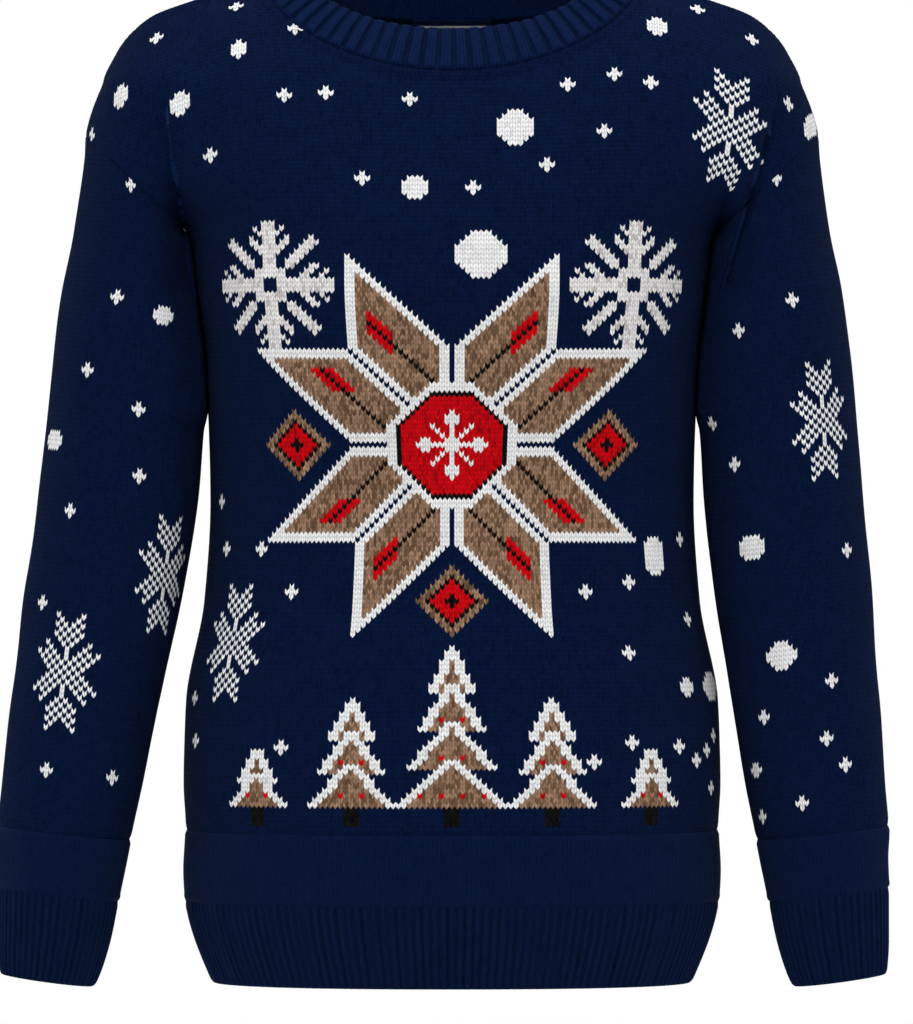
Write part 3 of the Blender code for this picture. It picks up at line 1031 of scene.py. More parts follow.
class Motifs:
    """The small traditional motifs."""

    SPARK = from_rows(Yarn.WHITE, ".#.", "###", ".#.")

    @staticmethod
    def dot(wide: int, high: int, corner: int) -> Stamp:
        """A round dot.

        Args:
            wide: Stitches across.
            high: Courses up.
            corner: Stitches cut off each corner.

        Returns:
            The stamp.
        """
        return {
            (i - wide // 2, j - high // 2): Yarn.WHITE
            for i, j in product(range(wide), range(high))
            if min(i, wide - 1 - i) + min(j, high - 1 - j) >= corner
        }

    @staticmethod
    def snowflake() -> Stamp:
        """The tall eight-armed snowflake of chevrons.

        Returns:
            The stamp.
        """
        stamp = {(0, 1), (0, 3), (0, 4)}
        stamp |= {(i, v + i) for i in range(4) for v in (5, 7, 9)}
        stamp |= {(i, 1 + i) for i in range(1, 6)}
        stamp |= {(out + k, k) for k in range(5) for out in (1, 3)}
        return {(s * i, t * j): Yarn.WHITE for i, j in stamp for s, t in product((-1, 1), repeat=2)}


class GreatStar:
    """The front's large design: a rose star, ice crystals and a row of firs.

    Its shapes are written in stitches from the middle of each figure.
    """

    PETAL = 20
    RIM = 2
    VEIN_END = 3
    HEART = 11
    HEART_CORNER = 15
    GEM = 7
    GEM_PLACES = ((33, 0), (-33, 0), (0, -33))
    CRYSTAL = 13
    TRUNK = 4
    TOP_BRANCH = 4

    @classmethod
    def star(cls) -> Stamp:
        """The eight-petalled rose star with a red middle.

        Returns:
            The stamp.
        """
        stamp: Stamp = {}
        for i, j in square(2 * cls.PETAL + 1):
            low, high = sorted((abs(i), abs(j)))
            if not (1 <= low <= cls.PETAL and low < high <= low + cls.PETAL):
                continue
            edge = min(low - 1, cls.PETAL - low, high - low - 1, low + cls.PETAL - high)
            vein = abs(high - low - cls.PETAL // 2)
            if edge < cls.RIM:
                stamp[i, j] = Yarn.WHITE
            elif vein == 0 and cls.VEIN_END < low < cls.PETAL - cls.VEIN_END:
                stamp[i, j] = Yarn.BLACK
            elif vein <= 2 and cls.PETAL // 2 + 1 < low < cls.PETAL - cls.VEIN_END:
                stamp[i, j] = Yarn.RED
            else:
                stamp[i, j] = Yarn.BROWN
        cls.middle(stamp)
        for place in cls.GEM_PLACES:
            cls.gem(stamp, *place)
        return stamp

    @classmethod
    def middle(cls, stamp: Stamp) -> None:
        """Adds the red eight-sided middle with its white cross.

        Args:
            stamp: The star, changed in place.
        """
        for i, j in square(cls.HEART + cls.RIM):
            low, high = sorted((abs(i), abs(j)))
            spare = min(cls.HEART - high, cls.HEART_CORNER - low - high)
            if spare < -cls.RIM:
                continue
            cross = (low == high <= 4) or (low == 0 and high <= 7) or (low == 1 and high in (5, 6))
            yarn = Yarn.WHITE if spare < 0 or cross else Yarn.RED
            stamp[i, j] = Yarn.BLACK if spare == 0 else yarn

    @classmethod
    def gem(cls, stamp: Stamp, middle_i: int, middle_j: int) -> None:
        """Adds a red diamond with a dark edge.

        Args:
            stamp: The star, changed in place.
            middle_i: The diamond's middle across.
            middle_j: Its middle up the cloth.
        """
        for i, j in square(cls.GEM):
            away = abs(i) + abs(j)
            if away <= cls.GEM:
                dark = away == cls.GEM - 2 or away < 2
                edge = Yarn.BROWN if away >= cls.GEM - 1 else Yarn.RED
                stamp[middle_i + i, middle_j + j] = Yarn.BLACK if dark else edge

    @classmethod
    def crystal(cls) -> Stamp:
        """A broad ice crystal in the pale grey yarn.

        Returns:
            The stamp.
        """
        stamp: Stamp = {}
        for i, j in square(cls.CRYSTAL):
            low, high = sorted((abs(i), abs(j)))
            arm = low <= 1 and high >= 4
            diagonal = high - low <= 1 and 4 <= low <= 9
            branch = low <= 4 and high - low in (5, 6, 9) and high <= cls.CRYSTAL - 1
            ring = high in (2, 3) and low <= 3
            if arm or diagonal or branch or ring:
                stamp[i, j] = Yarn.GREY
        return stamp

    @classmethod
    def fir(cls, tiers: int, tier_high: int, spread: int) -> Stamp:
        """A fir tree that stands on its middle point.

        Args:
            tiers: How many tiers of branches it has.
            tier_high: Courses in each tier.
            spread: How much wider each tier is than the one above, on each side.

        Returns:
            The stamp.
        """
        stamp: Stamp = {place: Yarn.BLACK for place in product((-1, 0, 1), range(cls.TRUNK))}
        for tier, j in product(range(tiers), range(tier_high)):
            base = cls.TRUNK + (tiers - 1 - tier) * (tier_high - 2)
            reach = round((cls.TOP_BRANCH + tier * spread) * (1 - j / tier_high))
            for i in range(-reach, reach + 1):
                tip = abs(i) >= reach - 1
                bead = j == 2 and abs(i) % 4 == 2 and not tip
                yarn = Yarn.RED if bead else Yarn.BROWN
                stamp[i, base + j] = Yarn.WHITE if tip else yarn
        return stamp


# ---------------- finishes


def math_node(tree: Tree, operation: str, *values: "Socket | float") -> Socket:
    """Adds a Math node.

    Args:
        tree: The node tree.
        operation: What the node works out.
        values: Its inputs, each a number or another node's output.

    Returns:
        The node's output.
    """
    node = tree.nodes.new("ShaderNodeMath")
    node.operation = operation
    for socket, value in zip(node.inputs, values):
        if isinstance(value, Socket):
            tree.links.new(value, socket)
        else:
            socket.default_value = value
    return node.outputs[0]


def bumps(tree: Tree, place: Socket, turn: float, power: float) -> Socket:
    """Height of a row of rounded bumps, from the place, the turn of their wave and how full they are."""
    wave = math_node(tree, "SINE", math_node(tree, "MULTIPLY", place, turn))
    return math_node(tree, "POWER", math_node(tree, "ABSOLUTE", wave), power)


class NodeGroups:
    """The shader effects that several finishes share, each built once."""

    LEG_POWER = 0.6
    COURSE_POWER = 0.7
    FIBRE_SCALE = 5.0
    FIBRE_DETAIL = 3.0
    CLOUD_DETAIL = 4.0
    DEEP_ROUGHNESS = 0.98
    HIGH_ROUGHNESS = 0.80

    _made: dict[str, Tree] = {}

    @classmethod
    def start(cls, name: str, inputs: dict[str, tuple], outputs: dict[str, str]) -> Tree:
        """Makes an empty group.

        Args:
            name: The group's name.
            inputs: (socket type, default) by name.
            outputs: Socket types by name.

        Returns:
            The group with its input and output nodes.
        """
        tree = bpy.data.node_groups.new(name, "ShaderNodeTree")
        for label, (kind, value) in inputs.items():
            socket = tree.interface.new_socket(name=label, in_out="INPUT", socket_type=kind)
            if value is not None:
                socket.default_value = value
        for label, kind in outputs.items():
            tree.interface.new_socket(name=label, in_out="OUTPUT", socket_type=kind)
        tree.nodes.new("NodeGroupInput").name = "in"
        tree.nodes.new("NodeGroupOutput").name = "out"
        cls._made[name] = tree
        return tree

    @classmethod
    def stitch_relief(cls) -> Tree:
        """Height of the yarn's legs from a place in stitches and courses.

        Returns:
            The group.
        """
        if "stitch_relief" in cls._made:
            return cls._made["stitch_relief"]
        inputs = {
            "Stitches": ("NodeSocketVector", None),
            "Fuzz": ("NodeSocketFloat", 0.3),
            "Courses": ("NodeSocketFloat", 1.0),
        }
        tree = cls.start("stitch_relief", inputs, {"Height": "NodeSocketFloat"})
        nodes, links = tree.nodes, tree.links
        inside = nodes["in"].outputs
        split = nodes.new("ShaderNodeSeparateXYZ")
        links.new(inside["Stitches"], split.inputs[0])
        leg = bumps(tree, split.outputs["X"], 2 * np.pi, cls.LEG_POWER)
        course = bumps(tree, split.outputs["Y"], np.pi, cls.COURSE_POWER)
        gap = math_node(tree, "SUBTRACT", course, 1.0)
        cut = math_node(tree, "MULTIPLY_ADD", gap, inside["Courses"], 1.0)
        both = math_node(tree, "MULTIPLY", leg, cut)
        fibres = nodes.new("ShaderNodeTexNoise")
        fibres.inputs["Scale"].default_value = cls.FIBRE_SCALE
        fibres.inputs["Detail"].default_value = cls.FIBRE_DETAIL
        links.new(inside["Stitches"], fibres.inputs["Vector"])
        height = math_node(tree, "MULTIPLY_ADD", fibres.outputs["Fac"], inside["Fuzz"], both)
        links.new(height, nodes["out"].inputs["Height"])
        return tree

    @classmethod
    def yarn_gap_shade(cls) -> Tree:
        """Paints shade into a colour in the gaps between the legs of yarn and mottles it like brushed fibre.

        Returns:
            The group.
        """
        if "yarn_gap_shade" in cls._made:
            return cls._made["yarn_gap_shade"]
        inputs = {
            "Color": ("NodeSocketColor", None),
            "Height": ("NodeSocketFloat", 0.5),
            "Depth": ("NodeSocketFloat", 0.4),
            "Mottle": ("NodeSocketFloat", 0.2),
            "Scale": ("NodeSocketFloat", 90.0),
        }
        outputs = {"Color": "NodeSocketColor", "Roughness": "NodeSocketFloat"}
        tree = cls.start("yarn_gap_shade", inputs, outputs)
        nodes, links = tree.nodes, tree.links
        inside = nodes["in"].outputs
        place = nodes.new("ShaderNodeTexCoord")
        cloud = nodes.new("ShaderNodeTexNoise")
        cloud.inputs["Detail"].default_value = cls.CLOUD_DETAIL
        links.new(place.outputs["Object"], cloud.inputs["Vector"])
        links.new(inside["Scale"], cloud.inputs["Scale"])
        centred = math_node(tree, "MULTIPLY", math_node(tree, "SUBTRACT", cloud.outputs["Fac"], 0.5), 2.0)
        mottle = math_node(tree, "MULTIPLY_ADD", centred, inside["Mottle"], 1.0)
        # Painted shade: the colour darkens where the legs' height falls, in the gaps between them.
        gap = math_node(tree, "SUBTRACT", inside["Height"], 1.0)
        gap_shade = math_node(tree, "MULTIPLY_ADD", gap, inside["Depth"], 1.0)
        shade = nodes.new("ShaderNodeVectorMath")
        shade.operation = "SCALE"
        links.new(inside["Color"], shade.inputs[0])
        links.new(math_node(tree, "MULTIPLY", mottle, gap_shade), shade.inputs["Scale"])
        links.new(shade.outputs[0], nodes["out"].inputs["Color"])
        rough = nodes.new("ShaderNodeMapRange")
        rough.inputs["To Min"].default_value = cls.DEEP_ROUGHNESS
        rough.inputs["To Max"].default_value = cls.HIGH_ROUGHNESS
        links.new(inside["Height"], rough.inputs["Value"])
        links.new(rough.outputs[0], nodes["out"].inputs["Roughness"])
        return tree


@dataclass(frozen=True)
class KnitFinish:
    """Matt knitted yarn, coloured leg by leg from the mesh.

    Attributes:
        name: The material's name.
        relief: How deep the yarn's legs look, in millimetres.
        fuzz: How rough the fibres are.
        depth: How much shade is painted into the gaps between legs.
        mottle: How uneven the colour is.
        sheen: The soft light of brushed fibre at a grazing angle.
        courses: How much the courses show, beside the wales.
        sheen_roughness: How wide that soft light spreads.
        specular: How much the yarn shines.
        strength: The share of the relief that shows.
    """

    name: str
    relief: float = 0.45
    fuzz: float = 0.45
    # Painted shade in the gaps between the legs of yarn.
    depth: float = 0.45
    mottle: float = 0.16
    sheen: float = 0.008
    courses: float = 1.0
    sheen_roughness: float = 0.5
    specular: float = 0.012
    strength: float = 0.8

    def build(self) -> Material:
        """Makes the material.

        Returns:
            The material.
        """
        material = bpy.data.materials.new(self.name)
        material.use_nodes = True
        tree = material.node_tree
        nodes, links = tree.nodes, tree.links
        shader = nodes["Principled BSDF"]
        shader.inputs["Sheen Weight"].default_value = self.sheen
        shader.inputs["Sheen Roughness"].default_value = self.sheen_roughness
        shader.inputs["Specular IOR Level"].default_value = self.specular
        uv = nodes.new("ShaderNodeUVMap")
        uv.uv_map = "stitches"
        yarn = nodes.new("ShaderNodeVertexColor")
        yarn.layer_name = "yarn"
        relief = nodes.new("ShaderNodeGroup")
        relief.node_tree = NodeGroups.stitch_relief()
        relief.inputs["Fuzz"].default_value = self.fuzz
        relief.inputs["Courses"].default_value = self.courses
        links.new(uv.outputs["UV"], relief.inputs["Stitches"])
        colour = nodes.new("ShaderNodeGroup")
        colour.node_tree = NodeGroups.yarn_gap_shade()
        colour.inputs["Depth"].default_value = self.depth
        colour.inputs["Mottle"].default_value = self.mottle
        links.new(yarn.outputs["Color"], colour.inputs["Color"])
        links.new(relief.outputs["Height"], colour.inputs["Height"])
        links.new(colour.outputs["Color"], shader.inputs["Base Color"])
        links.new(colour.outputs["Roughness"], shader.inputs["Roughness"])
        bump = nodes.new("ShaderNodeBump")
        bump.inputs["Strength"].default_value = self.strength
        bump.inputs["Distance"].default_value = self.relief * MM
        links.new(relief.outputs["Height"], bump.inputs["Height"])
        links.new(bump.outputs["Normal"], shader.inputs["Normal"])
        return material


@dataclass(frozen=True)
class FloorFinish:
    """The studio's plain pale floor."""

    colour: tuple[float, float, float, float] = (0.90, 0.90, 0.90, 1.0)
    roughness: float = 0.8

    def build(self) -> Material:
        """Makes the material.

        Returns:
            The material.
        """
        material = bpy.data.materials.new("studio_floor")
        material.use_nodes = True
        shader = material.node_tree.nodes["Principled BSDF"]
        shader.inputs["Base Color"].default_value = self.colour
        shader.inputs["Roughness"].default_value = self.roughness
        return material


def dress(piece: Object, material: Material, node: str) -> None:
    """Gives a piece its finish and its place in the frame.

    Args:
        piece: The mesh object.
        material: Its finish.
        node: The solid that it stands for.
    """
    piece.data.materials.append(material)
    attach(piece, BODY)
    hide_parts(node)
    LOG.info("%s: %d faces", piece.name, len(piece.data.polygons))


# ---------------- knitted panels and sleeves

# A line from which distances are measured is read in about this many steps.
LINE_STEPS = 60
# What turns a point to the other side of the garment.
MIRROR = (-1, 1, 1)


def both_halves(half: Array, turn: tuple[int, ...] = (1,)) -> Array:
    """A piece's rows from left to right, from those of its right half and what turns them round."""
    return np.concatenate([half[:0:-1] * turn, half])


def distance_to(grid: Array, line: Array) -> Array:
    """Distance from a line of points.

    Args:
        grid: The points to measure from.
        line: The line.

    Returns:
        The distance at each point of the grid.
    """
    flat = grid.reshape(-1, 3)
    line = line[:: max(len(line) // LINE_STEPS, 1)]
    best = np.full(len(flat), np.inf)
    for start, end in zip(line[:-1], line[1:]):
        along = end - start
        share = np.clip(((flat - start) @ along) / max(along @ along, TINY), 0, 1)
        away = ((flat - start - share[:, None] * along) ** 2).sum(axis=1)
        best = np.minimum(best, away)
    return np.sqrt(best).reshape(grid.shape[:-1])


@dataclass
class KnitPiece:
    """What a panel and a sleeve share: an outer face stitch by stitch and a plain reverse."""

    wall: float = 2.4
    wale_relief: float = 0.30
    lumps: float = 0.35
    lump_fade: float = 14.0
    reverse_step: int = 2
    seam_depth: float = 0.8
    seam_width: float = 1.8
    side_seam_depth: float = 0.1
    # The armhole's groove fades out below a height above the underarm.
    groove_off: float = 12.0
    groove_from: float = 34.0
    groove_over: float = 36.0

    def from_armhole(self, away: Array, above: Array) -> Array:
        """A distance from the armhole, raised near the underarm so that the groove fades out there."""
        return away + self.groove_off * (1 - smooth((above - self.groove_from) / self.groove_over))

    def knit(self, name: str, wales: Wales, chart: Chart, rng: Rng) -> Object:
        """Makes the piece's mesh.

        Args:
            name: The piece's name.
            wales: Its surface.
            chart: Its yarns.
            rng: The draw for the yarns' variation.

        Returns:
            The object.
        """
        lines = np.arange(len(wales.half_stitches))
        centre = wales.half_stitches % 2 == 0
        outer = wales.sample(lines, 1, np.where(centre, LEAN, 0.0))
        line_of = np.concatenate([np.full(len(np.unique(row)), k) for k, row in enumerate(outer.numbers)])
        sink = np.where(centre[line_of], 0.0, -self.wale_relief)
        points = outer.points + sink[:, None] * outer.normals
        faces, where = outer.faces()
        colours = []
        for cells in where:
            wale = (wales.half_stitches[cells[:, 0]] + 1) // 2 - chart.first_wale
            wale = np.clip(wale, 0, chart.yarns.shape[0] - 1)
            course = np.clip(cells[:, 1], 0, chart.yarns.shape[1] - 1)
            colours.append(yarn_colours(chart.yarns[wale, course], rng))

        seams = np.flatnonzero(np.abs(wales.half_stitches) == 2 * Panel.wales_each_half)
        pick = np.unique(np.concatenate([lines[:: 2 * self.reverse_step], seams, lines[-1:]]))
        inner = wales.sample(pick, self.reverse_step, np.zeros(len(pick)))
        inner_faces, inner_where = inner.faces(inside=True)
        faces = [np.concatenate([a, b + len(points)]) for a, b in zip(faces, inner_faces)]
        # The inside faces take the brightened reverse yarn, which is painted light on the inside.
        colours = [
            np.concatenate([a, yarn_colours(np.full(len(w), Yarn.REVERSE.value), rng)])
            for a, w in zip(colours, inner_where)
        ]
        points = np.concatenate([points, inner.points - self.wall * inner.normals])
        stitches = np.concatenate([outer.stitches, inner.stitches])
        return make_mesh(name, points, stitches, faces, colours)


CREASES: dict[Side, tuple[Crease, ...]] = {
    Side.FRONT: (
        Crease((-172, -70), (-156, -190), 9, -1.4),
        Crease((196, -70), (164, -186), 9, -1.5),
        Crease((-170, -150), (-128, -235), 16, 1.6),
        Crease((172, -158), (134, -228), 15, 1.3),
        Crease((-150, -300), (-128, -372), 18, -1.1),
        Crease((150, -320), (131, -398), 17, -1.0),
        Crease((-60, -84), (-104, -190), 30, -0.8),
        Crease((66, -86), (112, -196), 28, -0.7),
        Crease((-92, -520), (-122, -455), 20, 0.8),
        Crease((104, -525), (128, -470), 18, 0.7),
    ),
    Side.BACK: (
        Crease((-150, -150), (-96, -262), 18, 1.8),
        Crease((156, -160), (110, -248), 16, 1.5),
        Crease((-72, -318), (76, -306), 15, 1.5),
        Crease((-96, -362), (58, -372), 19, -1.2),
        Crease((-40, -404), (104, -396), 14, 1.0),
        Crease((-132, -430), (-118, -520), 18, 0.9),
    ),
}


@dataclass
class Panel(KnitPiece):
    """The front or the back, from the hem seam to the neck, shoulders and armholes.

    Wales run straight up at one gauge: they begin at the hem or the armhole and end at the neck
    or shoulder seam, as the panel was knitted and cut.
    """

    side: Side = Side.FRONT
    body: BodyForm = field(default_factory=BodyForm)
    wales_each_half: int = 69
    lower_levels: int = 250
    upper_levels: int = 230
    section_steps: int = 300
    seam_steps: int = 60
    armhole_steps: int = 30
    # Below this level a wale's courses get ahead of its neighbour's by this much at the most.
    level_below: float = -34.0
    steepest: float = 0.2
    # The roll under the neckband, with a furrow below it.
    roll_height: float = 1.3
    roll_middle: float = 3.4
    roll_width: float = 1.9
    roll_from: float = 2.0
    roll_over: float = 14.0
    furrow_away: float = 3.4
    furrow_depth: float = 0.9
    furrow_width: float = 1.3
    # The creases fade out towards the upper edge.
    calm_above: float = -18.0
    calm_over: float = 20.0
    # Courses crowd where the cloth droops to the armhole.
    droop: float = 0.20
    droop_from: float = 110.0
    droop_over: float = 75.0
    droop_z: float = -170.0
    droop_reach: float = 40.0

    def section(self, z: float) -> Array:
        """Evenly spaced points round half of the panel at one level.

        Args:
            z: The level.

        Returns:
            Points from the centre to the side seam, the armhole or the shoulder seam.
        """
        body = self.body
        if z <= body.underarm_z:
            return body.quarter_section(z, self.side, self.section_steps)
        outer = body.outer_edge(np.array(z))
        if z < body.shoulder_point_z:
            start = body.torso.at("half_width", body.underarm_z)
            end = body.outer_edge(np.array(body.shoulder_point_z))
            share = (z - body.underarm_z) / (body.shoulder_point_z - body.underarm_z)
            outer = start + (end - start) * share
        x = outer * np.sin(np.linspace(0, np.pi / 2, body.fine))
        y = self.side.value * body.depth_at(x, np.full_like(x, z), self.side)
        line = np.stack([x, y, np.full_like(x, z)], axis=1)
        if z >= body.shoulder_point_z:
            line = np.concatenate([line, [(float(outer), 0.0, z)]])
        return even_steps(line, self.section_steps)

    def neck_x(self, z: float) -> float:
        """Half width of the neck opening.

        Args:
            z: The level.

        Returns:
            Its half width there, and 0 below it.
        """
        low, power = self.body.neck_seam[self.side.label]
        if z <= low:
            return 0.0
        turn = np.clip(z / low, 0, 1) ** (1 / power)
        return self.body.neck_half_width * np.sqrt(1 - turn**2)

    def wales(self) -> Wales:
        """Works out the panel's surface along its wales.

        Returns:
            The surface.
        """
        body = self.body
        levels = np.concatenate([
            np.linspace(body.hem_seam_z, body.underarm_z, self.lower_levels + 1),
            body.underarm_z * (1 - np.sin(np.linspace(0, np.pi / 2, self.upper_levels + 1)[1:])),
        ])
        sections = np.array([self.section(z) for z in levels])
        normals = unit(np.cross(np.gradient(sections, axis=1), np.gradient(sections, axis=0)))
        normals *= -self.side.value
        normals[..., 1] = self.side.value * np.abs(normals[..., 1])
        high = levels > body.shoulder_point_z
        normals[high, :, 2] = np.abs(normals[high, :, 2])
        reach = np.array([lengths(section) for section in sections])
        ends = reach[:, -1]
        gauge = np.where(levels <= body.underarm_z, ends, ends[self.lower_levels]) / self.wales_each_half
        necks = np.array([
            np.interp(self.neck_x(z), section[:, 0], length)
            for z, section, length in zip(levels, sections, reach)
        ])
        count = int(np.floor((2 * ends / gauge).max())) + 2
        target = np.arange(count)[:, None] / 2 * gauge[None, :]
        points, out = np.empty((2, count, len(levels), 3))
        for level, (at, length) in enumerate(zip(target.T, reach)):
            points[:, level] = read_at(at, length, sections[level])
            out[:, level] = read_at(at, length, normals[level])
        spare_out, spare_in = ends[None, :] - target, target - necks[None, :]
        neck_points = np.array([read_at(*row) for row in zip(necks, reach, sections)])
        begins = self.cut(points, out, spare_out, spare_in, sections[:, -1], neck_points)
        relief = self.relief(points, body.top_boundary(self.side, self.wales_each_half))
        points = points + relief[..., None] * unit(out)
        courses = self.count_courses(points, begins)
        first = courses[np.arange(count), np.maximum(begins - 1, 0)]
        first[begins == 0] = 0.0
        points, out = (both_halves(half, MIRROR) for half in (points, unit(out)))
        points = hang(points + self.crease_relief(points)[..., None] * out)
        return Wales(
            np.arange(1 - count, count),
            points,
            out,
            both_halves(courses),
            both_halves(first),
            both_halves(courses[:, -1]),
            self.side is Side.BACK,
        )

    @staticmethod
    def cut(
        points: Array, out: Array, spare_out: Array, spare_in: Array, outer_edge: Array, neck_edge: Array
    ) -> Array:
        """Ends each wale where it meets the panel's edge.

        Args:
            points: Points [line, level], changed in place past the edges.
            out: The way out at each, changed in the same way.
            spare_out: Distance left to the outer edge at each.
            spare_in: Distance left to the neck edge at each.
            outer_edge: The outer edge's point at each level.
            neck_edge: The neck edge's point at each level.

        Returns:
            The level at which each line begins.
        """
        spare = np.minimum(spare_out, spare_in) + EDGE_SLACK
        begins = np.zeros(len(points), int)
        for line in range(len(points)):
            inside = np.flatnonzero(spare[line] >= 0)
            if not len(inside):
                widest = int(np.argmax(spare_out[line]))
                points[line], out[line] = outer_edge[widest], out[line, widest].copy()
                begins[line] = widest
                continue
            low, high = inside[0], inside[-1]
            begins[line] = low
            if low > 0:
                share = spare[line, low - 1] / (spare[line, low - 1] - spare[line, low])
                points[line, :low] = outer_edge[low - 1] + share * (outer_edge[low] - outer_edge[low - 1])
                out[line, :low] = out[line, low].copy()
            if high < points.shape[1] - 1:
                edge = neck_edge if spare_in[line, high + 1] < spare_out[line, high + 1] else outer_edge
                share = spare[line, high] / (spare[line, high] - spare[line, high + 1])
                points[line, high + 1 :] = edge[high] + share * (edge[high + 1] - edge[high])
                out[line, high + 1 :] = out[line, high].copy()
        return begins

    def count_courses(self, points: Array, begins: Array) -> Array:
        """Counts courses up each wale.

        Args:
            points: Points [line, level].
            begins: The level at which each line begins.

        Returns:
            The course at each point.
        """
        middle = (points[:, 1:] + points[:, :-1]) / 2
        near = np.exp(-(((middle[..., 2] - self.droop_z) / self.droop_reach) ** 2))
        near = near * smooth((np.abs(middle[..., 0]) - self.droop_from) / self.droop_over)
        rise = np.linalg.norm(np.diff(points, axis=1), axis=2) / COURSE * (1 + self.droop * near)
        courses = np.zeros(points.shape[:2])
        fall = self.steepest * np.arange(len(points))
        for level in range(1, points.shape[1]):
            here = courses[:, level - 1] + rise[:, level - 1]
            low = points[:, level, 2] < self.level_below
            live = np.where((rise[:, level - 1] > TINY) & low, here, np.inf)
            bound = np.minimum.accumulate(live - fall) + fall
            here = np.where(low, np.minimum(here, bound), here)
            started = np.flatnonzero(begins <= level)[-1]
            here[started + 1 :] = here[started]
            courses[:, level] = here
        return courses

    def crease_relief(self, points: Array) -> Array:
        """How far the creases move the cloth, fading towards the sides and the upper edge.

        Args:
            points: Points of the cloth.

        Returns:
            The move along each point's normal.
        """
        dip = sum(crease.dip(points) for crease in CREASES[self.side])
        fade = smooth((self.calm_above - points[..., 2]) / self.calm_over)
        return -dip * smooth(np.abs(points[..., 1]) / SIDE_FADE) * fade

    def relief(self, points: Array, top: Array) -> Array:
        """How far seams, the roll under the neckband and slight lumps move the cloth.

        Args:
            points: Points of the panel's right half.
            top: The neck and shoulder seams' points, from the centre out.

        Returns:
            The move along each point's normal.
        """
        body = self.body
        neck = distance_to(points, top[: self.wales_each_half + 1])
        shoulder = distance_to(points, top[self.wales_each_half :])
        levels = np.linspace(body.hem_seam_z, body.underarm_z, self.seam_steps)
        side = np.stack([body.torso.at("half_width", levels), 0 * levels, levels], axis=1)
        side_seam = distance_to(points, side)
        armhole = distance_to(points, body.armhole(self.side, self.armhole_steps))
        hem = points[..., 2] - body.hem_seam_z
        grooved = self.from_armhole(armhole, points[..., 2] - body.underarm_z)
        nearest = np.minimum(np.minimum(neck, shoulder), np.minimum(grooved, hem))
        calm = smooth(np.minimum(np.minimum(nearest, side_seam), armhole) / self.lump_fade)
        total = soft_lumps(points, self.lumps) * calm
        total += groove(nearest, self.seam_depth, self.seam_width)
        total += groove(side_seam, self.side_seam_depth, self.seam_width)
        roll = self.roll_height * np.exp(-(((neck - self.roll_middle) / self.roll_width) ** 2))
        roll += groove(neck - self.roll_middle - self.furrow_away, self.furrow_depth, self.furrow_width)
        return total + roll * smooth((shoulder - self.roll_from) / self.roll_over)


